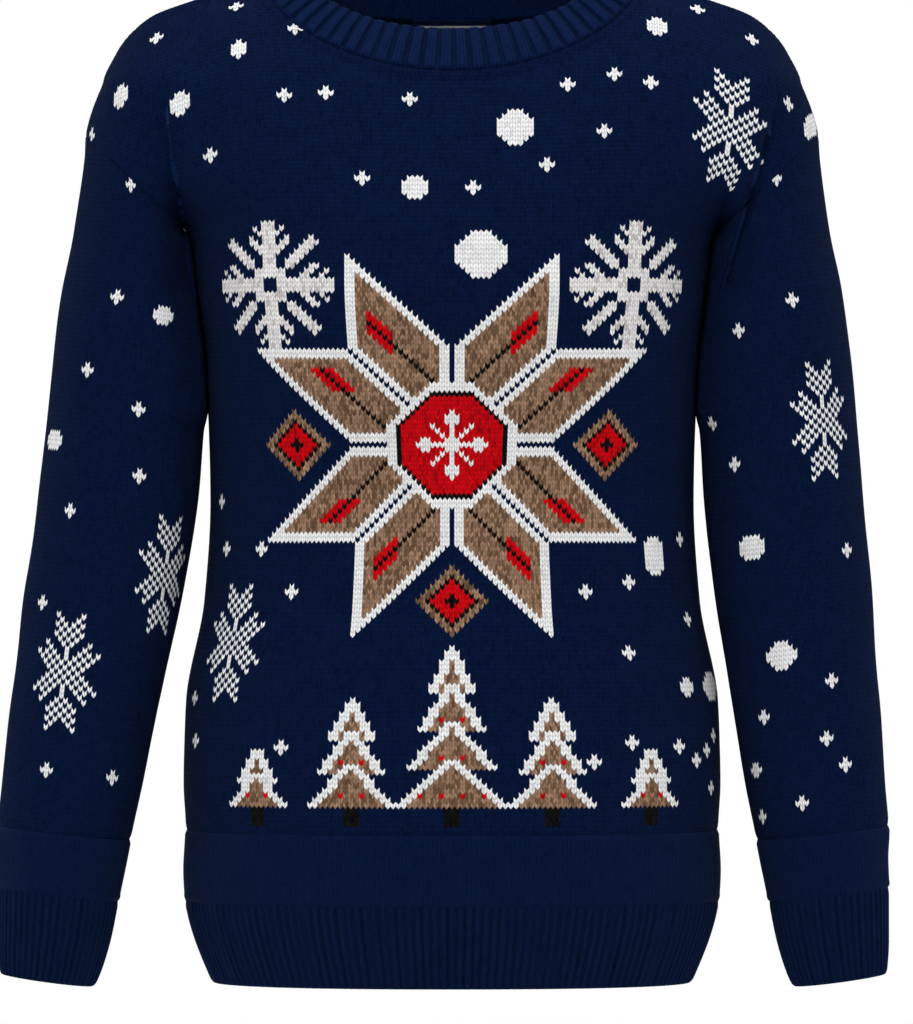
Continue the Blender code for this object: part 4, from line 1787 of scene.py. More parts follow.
@dataclass
class Sleeve(KnitPiece):
    """A drop-shoulder sleeve, one tube with a seam under the arm."""

    side_sign: int = 1
    arm: ArmForm = field(default_factory=lambda: ArmForm(BodyForm()))
    levels: int = 220
    section_steps: int = 72
    # The inner side leans on the body from the underarm down.
    least_lean: float = 2.0
    most_lean: float = 11.0
    lean_over: float = 10.0
    lean_reach: float = 40.0
    lean_from: float = 0.5
    lean_end_z: float = -292.0
    lean_fade: float = 16.0
    inner_fade: float = 12.0
    press: float = 0.1
    creases: tuple[Crease, ...] = ()

    def wales(self) -> Wales:
        """Works out the sleeve's surface along its wales, from the cuff seam up.

        Returns:
            The surface.
        """
        shares = np.linspace(1, 0, self.levels + 1)
        front, back = (self.arm.half(side, self.side_sign, shares, self.section_steps) for side in Side)
        ring = self.lean_on_body(np.concatenate([front, back[:, -2::-1]], axis=1))
        across = np.gradient(ring, axis=1)
        across[:, 0] = across[:, -1] = ring[:, 1] - ring[:, -2]
        out = unit(np.cross(across, np.gradient(ring, axis=0))) * self.side_sign
        ring = hang(ring + self.relief(ring)[..., None] * out)
        parts = (slice(self.section_steps, None, -1), slice(self.section_steps, None))
        lines = [self.half_lines(ring[:, part], out[:, part]) for part in parts]
        points, normals, inside = (np.concatenate([front[:0:-1], back]) for front, back in zip(*lines))
        half_stitches = np.arange(len(points)) - len(lines[0][0]) + 1
        courses = self.count_courses(points, inside)
        first = np.array([
            row[max(np.flatnonzero(~used)[-1], 0)] if (~used).any() else 0.0
            for row, used in zip(courses, inside)
        ])
        turned = self.side_sign < 0
        return Wales(half_stitches, points, normals, courses, first, courses[:, -1], turned)

    def half_lines(self, points: Array, normals: Array) -> tuple[Array, Array, Array]:
        """Reads half of the tube along wales of even gauge.

        Args:
            points: Points [level, step] from the outside line to the seam.
            normals: The way out at each.

        Returns:
            (Points, normals and whether each lies on the cloth), each [line, level].
        """
        reach = np.array([lengths(section) for section in points])
        count = int(np.floor(reach[:, -1].max() / (STITCH / 2))) + 2
        target = np.arange(count) * STITCH / 2
        placed, out = (
            np.stack([read_at(target, *row) for row in zip(reach, values)], axis=1)
            for values in (points, normals)
        )
        return placed, unit(out), target[:, None] <= reach[:, -1][None, :]

    @staticmethod
    def count_courses(points: Array, inside: Array) -> Array:
        """Counts courses up each line, alike on both sides of the under-sleeve seam's cut.

        Args:
            points: Points [line, level].
            inside: Whether each lies on the cloth.

        Returns:
            The course at each point.
        """
        courses = np.zeros(points.shape[:2])
        rise = np.linalg.norm(np.diff(points, axis=1), axis=2) / COURSE
        for level in range(1, points.shape[1]):
            here = courses[:, level - 1] + rise[:, level - 1]
            used = np.flatnonzero(inside[:, level])
            here[: used[0]] = here[used[0]]
            here[used[-1] + 1 :] = here[used[-1]]
            courses[:, level] = here
        return courses

    def relief(self, ring: Array) -> Array:
        """How far creases, seams and slight lumps move the cloth.

        Args:
            ring: Points [level, step].

        Returns:
            The move along each point's normal.
        """
        total = soft_lumps(ring, self.lumps) - sum(crease.dip(ring) for crease in self.creases)
        armhole, cuff, seam = (distance_to(ring, line) for line in (ring[-1], ring[0], ring[:, 0]))
        total *= smooth(np.minimum(np.minimum(armhole, cuff), seam) / self.lump_fade)
        armhole = self.from_armhole(armhole, ring[..., 2] - self.arm.body.underarm_z)
        total += groove(np.minimum(armhole, cuff), self.seam_depth, self.seam_width)
        return total + groove(seam, self.side_seam_depth, self.seam_width)

    def lean_on_body(self, ring: Array) -> Array:
        """Presses the upper sleeve's inner side against the body.

        Args:
            ring: Points [level, step].

        Returns:
            The points, moved across towards the body.
        """
        body = self.arm.body
        x, y, z = np.abs(ring[..., 0]), ring[..., 1], ring[..., 2]
        deep = np.where(y < 0, body.torso.at("front", z), body.torso.at("back", z))
        side = lobe(y, deep, body.torso.at("half_width", z), body.torso.at("power", z))
        below = body.underarm_z - z
        most = self.least_lean + (self.most_lean - self.least_lean) * smooth(below / self.lean_over)
        gap = np.clip(x - side + self.press, 0, most)
        inner = smooth((x.mean(axis=1, keepdims=True) - x) / self.inner_fade)
        close = np.exp(-((y / self.lean_reach) ** 2)) * smooth(below + self.lean_from)
        close = close * smooth((z - self.lean_end_z) / self.lean_fade)
        return ring - (gap * close * inner * self.side_sign)[..., None] * (1, 0, 0)


LEFT_SLEEVE_CREASES: tuple[Crease, ...] = (
    Crease((-236, -190), (-244, -470), 8, -0.9),
    Crease((-212, -330), (-188, -372), 12, 1.2),
    Crease((-222, -470), (-202, -498), 11, 0.9),
    Crease((-262, -380), (-240, -418), 14, 0.7),
)
RIGHT_SLEEVE_CREASES: tuple[Crease, ...] = (
    Crease((236, -210), (246, -440), 9, -0.7),
    Crease((208, -352), (182, -390), 12, 1.0),
    Crease((252, -486), (228, -512), 12, 0.8),
)


# ---------------- ribbed bands


@dataclass
class RibBand:
    """What the hem band and the cuffs share: rows of points round a ribbed wall."""

    wall: float = 2.6
    ribs: int = 48
    points_each_rib: int = 8
    rib_height: float = 1.3
    # Painted light on the ribs: painted shade in their furrows and a faint painted highlight on their ridges,
    # and the same between and on the fine wales above the fold.
    rib_painted_light: float = 0.28
    upper_wale: float = 0.42
    upper_painted_light: float = 0.16
    course: float = 2.7
    unevenness: float = 0.28
    fold_z: float = -595.5
    # Painted shade and painted light: the same rib yarn is darkened on the hem band and cuffs, outside and
    # inside, and the neckband sets its own levels.
    painted_light_level: float = 0.86
    inner_painted_light_level: float = 0.86
    seam_depth: float = 0.8
    seam_gap: float = 0.15
    least_rib: float = 0.4
    most_rib: float = 1.5
    # The rib height at which painted shade turns into painted highlight.
    shade_from: float = 0.3

    def rows(self, seam_z: float, bottom_z: float) -> list[tuple[float, float, float, float]]:
        """The rows down the band's outside, under its edge and up its inside.

        Args:
            seam_z: The height of its seam.
            bottom_z: The height of its lower edge.

        Returns:
            (height, how far out, share of the ribs' height, share of the fine wales' height).
        """
        fold = self.fold_z
        rows = [(seam_z, -self.seam_depth, 0.0, 0.0), (seam_z - 1.2, -0.25, 0.0, 0.4)]
        upper = np.linspace(seam_z - 3, fold + 5, 16)
        rows += [(z, 0.25 + 0.35 * k / 15, 0.0, 1.0) for k, z in enumerate(upper)]
        rows += [
            (fold + 2.6, 0.95, 0.0, 0.7),
            (fold + 1.0, 0.85, 0.0, 0.4),
            (fold, 0.25, 0.1, 0.1),
            (fold - 0.7, -0.35, 0.5, 0.0),
            (fold - 2.4, -0.25, 0.95, 0.0),
        ]
        rows += [(z, -0.05, 1.0, 0.0) for z in np.linspace(fold - 5, bottom_z + 4.5, 13)]
        rows += [
            (bottom_z + 2.2, -0.15, 1.0, 0.0),
            (bottom_z + 0.8, -0.5, 0.8, 0.0),
            (bottom_z + 0.1, -1.2, 0.45, 0.0),
            (bottom_z + 0.4, -self.wall + 0.6, 0.1, 0.0),
            (bottom_z + 1.6, -self.wall, -0.12, 0.0),
        ]
        rows += [(z, -self.wall, -0.15, 0.0) for z in np.linspace(bottom_z + 5, seam_z - 3, 12)]
        rows += [(seam_z, -self.wall + 0.4, 0.0, 0.0)]
        return rows

    def rib_wave(self, phase: Array) -> Array:
        """-0.5 in a furrow and 0.5 on a ridge, with rounded shoulders."""
        wave = np.cos(2 * np.pi * phase)
        return 0.5 * np.sign(wave) * np.abs(wave) ** 0.65

    def build_wall(
        self,
        name: str,
        rings: Array,
        out: Array,
        rows: list[tuple[float, float, float, float]],
        closed: bool,
        rng: Rng,
    ) -> Object:
        """Makes the band's mesh.

        Args:
            name: The piece's name.
            rings: Points [row, step] on the band's plain surface.
            out: The way out of the band at each.
            rows: What each row adds, as rows() gives it.
            closed: True for a whole ring.
            rng: The draw for the yarn's variation.

        Returns:
            The object.
        """
        count = rings.shape[1]
        phase = np.arange(count) / self.points_each_rib
        uneven = np.repeat(rng.normal(size=count // self.points_each_rib + 1), self.points_each_rib)[:count]
        ribs = self.rib_wave(phase) * np.clip(1 + self.unevenness * uneven, self.least_rib, self.most_rib)
        fine = 0.5 * np.cos(4 * np.pi * phase)
        table = np.array(rows)
        lift = table[:, 1:2] + self.rib_height * table[:, 2:3] * ribs + self.upper_wale * table[:, 3:4] * fine
        points = rings + lift[..., None] * out
        down = lengths(points[:, count // 4]) / self.course
        place = np.stack(np.broadcast_arrays(2 * phase[None, :], down[:, None]), axis=-1)
        numbers = np.arange(points.shape[0] * count).reshape(points.shape[:2]).T
        numbers = np.concatenate([numbers, numbers[:, :1]], axis=1)
        if closed:
            numbers = np.concatenate([numbers, numbers[:1]])
        quads = grid_faces(numbers, True)
        # Painted shade in the ribs' furrows and a painted highlight on their ridges, then between and on the
        # fine wales.
        middle = (ribs + np.roll(ribs, -1)) / 2
        steps = numbers.shape[0] - 1
        ridge = middle[:steps, None] - self.shade_from
        shade = 1 + self.rib_painted_light * np.clip(table[:, 2], 0, 1)[None, :] * ridge
        channel = (fine + np.roll(fine, -1))[:steps, None] / 2
        shade += self.upper_painted_light * table[:, 3][None, :] * channel
        # Painted light levels: painted shade on the hem band and cuffs, painted light on the neckband's
        # inside.
        shade *= np.where(table[:, 1] < 0.1 - self.wall, self.inner_painted_light_level, self.painted_light_level)[None, :]
        shade = shade.reshape(-1)
        if not closed:
            caps = np.concatenate([self.end_cap(numbers[0], False), self.end_cap(numbers[-1], True)])
            quads = np.concatenate([quads, caps])
            shade = np.concatenate([shade, np.ones(len(caps))])
        colours = yarn_colours(np.full(len(quads), Yarn.RIB.value), rng, shade)
        return make_mesh(name, points.reshape(-1, 3), place.reshape(-1, 2), [quads], [colours])

    @staticmethod
    def end_cap(loop: Array, turned: bool) -> Array:
        """Quads across the wall at one end of a band.

        Args:
            loop: The point numbers round the wall, the first repeated at the end.
            turned: True turns each face round.

        Returns:
            The quads between the outside and the inside.
        """
        loop = loop[:-1]
        last = len(loop) - 1
        k = np.arange(len(loop) // 2 - 1)
        caps = np.stack([loop[k], loop[k + 1], loop[last - k - 1], loop[last - k]], axis=-1)
        return caps[:, ::-1] if turned else caps


@dataclass
class HemBand(RibBand):
    """Half of the ribbed hem band, between the side seams."""

    ribs: int = 84
    side: Side = Side.FRONT
    body: BodyForm = field(default_factory=BodyForm)
    bottom_z: float = -649.3

    def build(self, name: str, rng: Rng) -> Object:
        """Makes the band.

        Args:
            name: The piece's name.
            rng: The draw for the yarn's variation.

        Returns:
            The object.
        """
        rows = self.rows(self.body.hem_seam_z - self.seam_gap, self.bottom_z)
        half = self.ribs * self.points_each_rib // 2
        rings, ways = [], []
        for z, *_ in rows:
            quarter = self.body.quarter_section(z, self.side, half)
            ring = both_halves(quarter, MIRROR)
            out = np.gradient(ring, axis=0)[:, [1, 0, 2]] * (1, -1, 0)
            out[[0, -1]] *= (1, 0, 0)
            out = unit(out)
            out *= np.sign((out * ring).sum(axis=1, keepdims=True))
            rings.append(ring)
            ways.append(out)
        piece = self.build_wall(name, np.array(rings), np.array(ways), rows, False, rng)
        if self.side is Side.BACK:
            piece.data.flip_normals()
        return piece


@dataclass
class Cuff(RibBand):
    """A ribbed cuff."""

    side_sign: int = 1
    arm: ArmForm = field(default_factory=lambda: ArmForm(BodyForm()))
    bottom_z: float = -651.3
    fine: int = 1600

    def build(self, name: str, rng: Rng) -> Object:
        """Makes the cuff.

        Args:
            name: The piece's name.
            rng: The draw for the yarn's variation.

        Returns:
            The object.
        """
        rows = self.rows(self.arm.cuff_seam_z - self.seam_gap, self.bottom_z)
        count = self.ribs * self.points_each_rib
        turn = np.linspace(0, 2 * np.pi, self.fine + 1)
        shape = np.stack([-np.cos(turn), -np.sin(turn)], axis=1)
        rings, ways = [], []
        for z, *_ in rows:
            ring = even_steps(self.arm.section(z, shape, self.side_sign), count)[:-1]
            middle = ring.mean(axis=0)
            tangent = np.roll(ring, -1, axis=0) - np.roll(ring, 1, axis=0)
            plane = np.cross(ring[0] - middle, ring[count // 4] - middle)
            out = unit(np.cross(tangent, plane))
            out *= np.sign((out * (ring - middle)).sum(axis=1, keepdims=True))
            rings.append(ring)
            ways.append(out)
        piece = self.build_wall(name, np.array(rings), np.array(ways), rows, True, rng)
        if self.side_sign < 0:
            piece.data.flip_normals()
        return piece


@dataclass
class Neckband(RibBand):
    """The ribbed neckband, seamed to the panels' neck edges."""

    wall: float = 3.0
    ribs: int = 66
    points_each_rib: int = 14
    rib_height: float = 2.1
    # Stronger painted shade in the furrows, no painted shade on the outside, and painted light that brightens
    # the inside 2.6 times.
    rib_painted_light: float = 0.4
    painted_light_level: float = 1.0
    inner_painted_light_level: float = 2.6
    unevenness: float = 0.12
    body: BodyForm = field(default_factory=BodyForm)
    top_half_width: float = 98.0
    top_side_z: float = 20.0
    top_side_y: float = -4.0
    top: dict[str, tuple[float, float, float]] = field(
        default_factory=lambda: {"front": (-60.0, -32.4, 0.9), "back": (47.0, 9.0, 1.0)}
    )
    furrow: float = 0.125
    ridge_share: float = 0.68
    ridge_from: float = 0.13
    ridge_over: float = 0.22
    channel_depth: float = 0.10
    channel_width: float = 0.07
    outside: tuple[float, ...] = (
        *(0.0, 0.012, 0.03, 0.055, 0.09, 0.15, 0.23, 0.32, 0.41),
        *(0.5, 0.59, 0.68, 0.77, 0.84, 0.9, 0.935),
    )
    inside: tuple[float, ...] = (0.9, 0.8, 0.68, 0.55, 0.42, 0.3, 0.18, 0.08)

    def top_line(self, side: Side, turn: Array) -> Array:
        """Points on the band's upper edge.

        Args:
            side: The front or the back.
            turn: From the centre, 0, to the shoulder, pi / 2.

        Returns:
            The point at each turn.
        """
        y_middle, z_middle, power = self.top[side.label]
        share = np.clip(np.cos(turn), 0, 1)
        x = self.top_half_width * np.sin(turn)
        y = self.top_side_y + (y_middle - self.top_side_y) * share
        z = self.top_side_z + (z_middle - self.top_side_z) * share**power
        return np.stack([x, y, z], axis=-1)

    @staticmethod
    def around(front: Array, back: Array) -> Array:
        """A closed ring from two quarters that run from the centre to the shoulder."""
        right = np.concatenate([front, back[-2::-1]])
        return np.concatenate([right, right[-2:0:-1] * MIRROR])

    def rib_wave(self, phase: Array) -> Array:
        """Flat ridges with rounded shoulders and a faint channel down their middle.

        Args:
            phase: The place round the band, in ribs.

        Returns:
            The height at each place, from -0.5 to 0.5.
        """
        from_ridge = np.abs((phase - self.furrow) % 1.0 - 0.5)
        flat = 1 - smooth((from_ridge - self.ridge_share / 2 + self.ridge_from) / self.ridge_over)
        return flat - 0.5 - self.channel_depth * np.exp(-((from_ridge / self.channel_width) ** 2))

    def profile(self) -> list[tuple[float, float, float]]:
        """The rows up the outside, over the edge and down the inside.

        Returns:
            (Share of the band's height, how far out, share of the ribs' height) of each.
        """
        proud = Table(
            ("share", "out"), (0, -1.3), (0.02, 0.5), (0.05, 1.2), (0.5, 1.7), (0.92, 0.7), (1, 0.2)
        )
        rows = [(share, float(proud.at("out", share)), min(1.0, share * 22)) for share in self.outside]
        rows += [(0.962, 0.45, 0.92), (0.985, -0.05, 0.7), (0.998, -0.8, 0.4), (1.0, -1.5, 0.1)]
        rows += [(0.99, -2.4, -0.1), (0.965, -self.wall, -0.22)]
        rows += [(share, -self.wall, -0.25) for share in self.inside]
        rows += [(0.0, -self.wall - 0.1, -0.1), (-0.13, -self.wall - 0.3, 0.0)]
        rows += [(-0.13, -self.wall + 0.6, 0.0), (-0.01, -1.9, 0.0)]
        return rows

    def build(self, name: str, rng: Rng) -> Object:
        """Makes the band.

        Args:
            name: The piece's name.
            rng: The draw for the yarn's variation.

        Returns:
            The object.
        """
        quarter = self.ribs * self.points_each_rib // 4
        turns = {side: self.body.neck_turns(side, quarter) for side in Side}
        seam = self.around(*(self.body.neckline(side, turns[side]) for side in Side))
        top = self.around(*(self.top_line(side, turns[side]) for side in Side))
        tangent = np.roll(seam, -1, axis=0) - np.roll(seam, 1, axis=0)
        out = unit(np.cross(tangent, top - seam))
        rows = self.profile()
        rings = np.array([seam + (top - seam) * share for share, *_ in rows])
        outwards = unit(rings[len(self.outside) // 2] * (1, 1, 0)) + (0, 0, 1)
        out *= np.sign((out * outwards).sum(axis=1, keepdims=True))
        ways = np.repeat(out[None], len(rows), axis=0)
        table = [(0.0, lift, rib, 0.0) for _, lift, rib in rows]
        piece = self.build_wall(name, rings, ways, table, True, rng)
        piece.data.flip_normals()
        return piece


@dataclass
class NeckLabel:
    """The plain woven label inside the back of the neck."""

    body: BodyForm = field(default_factory=BodyForm)
    width: float = 52.0
    height: float = 30.0
    top_z: float = -20.5
    thickness: float = 1.0
    clearance: float = 0.8
    wall: float = 2.4
    threads: tuple[int, int] = (78, 44)
    line_rows: tuple[int, int] = (36, 38)
    line_margin: int = 4
    weave: float = 0.05
    edge_from: float = 0.6
    edge_over: float = 1.6
    pitch: tuple[float, float] = (0.67, 0.68)

    def build(self, name: str, rng: Rng) -> Object:
        """Makes the label.

        Args:
            name: The piece's name.
            rng: The draw for the yarn's variation.

        Returns:
            The object.
        """
        across, down = self.threads
        x = np.linspace(-self.width / 2, self.width / 2, across + 1)
        z = np.linspace(self.top_z - self.height, self.top_z, down + 1)
        grid_x, grid_z = np.meshgrid(x, z, indexing="ij")
        y = self.body.depth_at(grid_x, grid_z, Side.BACK) - self.wall - self.clearance
        back = np.stack([grid_x, y, grid_z], axis=-1)
        i, j = np.indices((across + 1, down + 1))
        edge = np.minimum(np.minimum(i, across - i), np.minimum(j, down - j))
        thick = self.thickness * smooth((edge + self.edge_from) / self.edge_over)
        thick = thick + self.weave * ((i + j) % 2 - 0.5)
        front = back - thick[..., None] * (0, 1, 0)
        points = np.concatenate([back.reshape(-1, 3), front.reshape(-1, 3)])
        size = i.size
        numbers = np.arange(size).reshape(i.shape)
        border = [numbers[:, 0], numbers[-1, :], numbers[::-1, -1], numbers[0, ::-1]]
        rim = np.concatenate([line[:-1] for line in border])
        after = np.roll(rim, -1)
        sides = np.stack([rim, after, after + size, rim + size], axis=-1)
        quads = np.concatenate([grid_faces(numbers, True), grid_faces(numbers + size, False), sides])
        columns, rows = np.indices((across, down)).reshape(2, -1)
        low, high = self.line_rows
        line = (rows >= low) & (rows < high)
        line &= (columns >= self.line_margin) & (columns < across - self.line_margin)
        yarns = np.full(len(quads), Yarn.LABEL.value)
        yarns[len(rows) : 2 * len(rows)][line] = Yarn.LABEL_LINE.value
        place = points[:, [0, 2]] / self.pitch
        return make_mesh(name, points, place, [quads], [yarn_colours(yarns, rng)])


# ---------------- where the motifs lie


class MotifKind(Enum):
    """The small motifs that are scattered over the cloth."""

    SNOWFLAKE = "snowflake"
    DOT = "dot"
    SPARK = "spark"


@dataclass(frozen=True)
class Placed:
    """A small motif where it is seen: its kind, its middle, and a dot's width and height."""

    # A dot narrower than this share of its height is seen at a slant, and others have wales seen
    # at least this share of a stitch apart.
    SLANTED = 0.85
    LEAST_ACROSS = 0.8
    # The part of a stitch by which a dot's edge leans out, and the share that each corner loses.
    OVERHANG = 0.2
    CORNER = 0.29

    kind: MotifKind
    x: float
    z: float
    wide: float = 0.0
    high: float = 0.0

    def stamp(self, spacing: tuple[float, float]) -> Stamp:
        """The motif's stitches.

        Args:
            spacing: How far apart wales and courses are seen to lie there.

        Returns:
            The stamp.
        """
        if self.kind is MotifKind.SPARK:
            return Motifs.SPARK
        if self.kind is MotifKind.SNOWFLAKE:
            return Motifs.snowflake()
        across, up = spacing
        if self.wide >= self.SLANTED * self.high:
            across = max(across, self.LEAST_ACROSS * STITCH)
        wide = max(2, round(self.wide / across - self.OVERHANG))
        high = max(2, round(self.high / up - LEAN))
        return Motifs.dot(wide, high, max(1, round(self.CORNER * min(wide, high))))


@dataclass(frozen=True)
class MotifPlan:
    """The small motifs that one viewpoint sees on a piece.

    Attributes:
        snowflakes: Each one's middle.
        dots: Each one's middle, width and height.
        sparks: Each small star's middle.
    """

    snowflakes: tuple[tuple[float, ...], ...]
    dots: tuple[tuple[float, ...], ...]
    sparks: tuple[tuple[float, ...], ...]

    def motifs(self) -> list[Placed]:
        """The motifs in the order in which they are knitted."""
        groups = (self.snowflakes, self.dots, self.sparks)
        return [Placed(kind, *place) for kind, places in zip(MotifKind, groups) for place in places]


PANEL_MOTIFS: dict[Side, MotifPlan] = {
    Side.FRONT: MotifPlan(
        snowflakes=((179.4, -94.4), (-143, -427.2)),
        dots=(
            (19.2, -173.4, 35.1, 32.5), (42.2, -92.1, 24.1, 24.7), (-25.4, -132.4, 16.2, 15.6),
            (-139.8, -42.4, 12.3, 13.7), (-175.8, -75.6, 13, 16.2), (-213.9, -71.6, 11, 17),
            (134.2, -26.5, 13, 13), (131.6, -370.6, 11.7, 26.7), (153.1, -455.5, 9.1, 15.6),
            (168.5, -454.5, 8.5, 18.8), (234.6, -91, 7, 16),
        ),
        sparks=(
            (-193.7, -35.3), (217.7, -77.5), (-103, -28.7), (-235, -97.7), (-141.7, -13.8),
            (-108.6, -73), (-81.3, -69.1), (-26.7, -73.6), (75.4, -65.8), (106, -59.3),
            (130.7, -63.2), (100.1, -94.4), (60.5, -115.9), (-59.8, -125.6), (12.4, -132.8),
            (-157.3, -110.7), (159.9, -16.4), (195.7, -35.3), (183.9, -167.2), (-149.5, -337.5),
            (-124.8, -368.1), (-146.3, -367.4), (-103.4, -394.7), (-111.2, -496.8), (-167.1, -492.2),
            (-167.7, -464.9), (147.6, -361.6), (113.8, -388.2), (87.8, -394), (114.4, -435.7),
            (152.8, -412.2), (118.3, -491.6), (93, -504.6), (147.6, -495.5), (159.9, -505.2),
            (166.4, -497.4), (170.3, -489), (169, -521.5),
        ),
    ),
    Side.BACK: MotifPlan(
        snowflakes=(
            (-118, -128), (96, -214), (-66, -306), (124, -404), (-126, -462),
            (18, -472),
        ),
        dots=(
            (24, -96, 23, 22), (-32, -204, 31, 31), (132, -118, 18, 17),
            (-142, -236, 18, 17), (30, -352, 34, 34), (-104, -388, 21, 22),
            (92, -300, 16, 17), (80, -516, 18, 20), (-48, -530, 16, 17),
            (-162, -330, 18, 20), (150, -266, 18, 20),
        ),
        sparks=(
            (-58, -62), (76, -64), (-6, -140), (68, -148), (-72, -158),
            (168, -82), (-176, -84), (36, -252), (-94, -232), (-24, -262),
            (146, -330), (-16, -318), (-128, -304), (66, -388), (-30, -398),
            (-68, -436), (70, -442), (150, -484), (-86, -500), (-8, -540),
            (120, -536), (-150, -524), (168, -430), (-162, -410), (138, -190),
            (-148, -178), (48, -186), (-60, -352), (160, -540),
        ),
    ),
}
LEFT_SLEEVE_MOTIFS: dict[Side, MotifPlan] = {
    Side.FRONT: MotifPlan(
        snowflakes=((-252.2, -448), (-186, -383.2)),
        dots=((-187.8, -213.7, 13.7, 13), (-258.7, -295.9, 8.7, 14.4)),
        sparks=(
            (-208.7, -128.9), (-216.5, -203), (-236.6, -251.7), (-202.8, -275.8), (-203.5, -319.3),
            (-249, -342.1), (-265.9, -401.2), (-263.9, -509.8), (-220.4, -515.6),
        ),
    ),
    Side.BACK: MotifPlan(
        snowflakes=((214, -268), (238, -470)),
        dots=(
            (238, -178, 21, 20), (196, -372, 16, 17), (246, -368, 23, 22),
            (206, -520, 16, 17),
        ),
        sparks=(
            (206, -150), (236, -224), (186, -232), (246, -306), (190, -320),
            (222, -334), (218, -410), (262, -420), (200, -452), (262, -528),
        ),
    ),
}
RIGHT_SLEEVE_MOTIFS: dict[Side, MotifPlan] = {
    Side.FRONT: MotifPlan(
        snowflakes=((240.5, -284.2),),
        dots=(
            (182.7, -311.8, 7.2, 10.4), (197.3, -366.8, 16.9, 17.6), (214.2, -435.6, 22.1, 21.4),
            (198.2, -509.8, 11.1, 11.1),
        ),
        sparks=(
            (210.6, -125), (221, -203.7), (185.3, -224.5), (168.4, -285.6), (256.1, -366.8),
            (245.7, -452.6), (201.5, -477.3), (243.8, -489), (256.1, -505.9), (227.5, -530.6),
            (200.9, -541.6),
        ),
    ),
    Side.BACK: MotifPlan(
        snowflakes=((-222, -352), (-210, -196)),
        dots=(
            (-232, -262, 21, 20), (-206, -430, 23, 22), (-250, -470, 16, 17),
            (-186, -268, 15, 17),
        ),
        sparks=(
            (-240, -156), (-244, -222), (-196, -298), (-252, -310), (-188, -372),
            (-250, -412), (-216, -480), (-262, -524), (-226, -526), (-238, -440),
        ),
    ),
}

STAR_PLACE = (0.0, -300.0)
CRYSTAL_PLACES = ((-118.0, -196.0), (118.0, -196.0))
FIRS: tuple[tuple[float, int, int, int], ...] = (
    (0.0, 4, 10, 2),
    (-66.0, 3, 9, 2),
    (66.0, 3, 9, 2),
    (-128.0, 2, 7, 2),
    (128.0, 2, 7, 2),
)
FIR_FOOT_Z = -546.0


def scatter(chart: Chart, plan: MotifPlan, view: Viewpoint) -> None:
    """Knits small motifs where a viewpoint sees them, with a stitch free round each.

    Args:
        chart: The piece's chart.
        plan: The motifs.
        view: The viewpoint.
    """
    for motif in plan.motifs():
        wale, course = chart.nearest(motif.x, motif.z, view)
        if not chart.put(wale, course, motif.stamp(chart.spacing(wale, course, view)), clear=1):
            LOG.info("no room for %s at %.0f, %.0f", motif.kind.value, motif.x, motif.z)


def knit_design(chart: Chart, view: Viewpoint) -> None:
    """Knits the front's large design.

    Args:
        chart: The front's chart.
        view: The viewpoint that its places are given for.
    """
    chart.put(*chart.nearest(*STAR_PLACE, view), GreatStar.star())
    for place in CRYSTAL_PLACES:
        chart.put(*chart.nearest(*place, view), GreatStar.crystal())
    for x, tiers, tier_high, spread in FIRS:
        chart.put(*chart.nearest(x, FIR_FOOT_Z, view), GreatStar.fir(tiers, tier_high, spread))


# ---------------- the studio


@dataclass(frozen=True)
class SoftLight:
    """A large soft lamp: its place, the point it looks at, its size in metres and its power."""

    name: str
    place: tuple[float, float, float]
    aim: tuple[float, float, float]
    size: float
    power: float

    def build(self) -> None:
        """Hangs the lamp."""
        data = bpy.data.lights.new(self.name, "AREA")
        data.shape = "SQUARE"
        data.size = self.size
        data.energy = self.power
        lamp = bpy.data.objects.new(self.name, data)
        bpy.context.scene.collection.objects.link(lamp)
        lamp.location = self.place
        aim = Vector(self.aim) - Vector(self.place)
        lamp.rotation_euler = aim.to_track_quat("-Z", "Y").to_euler()


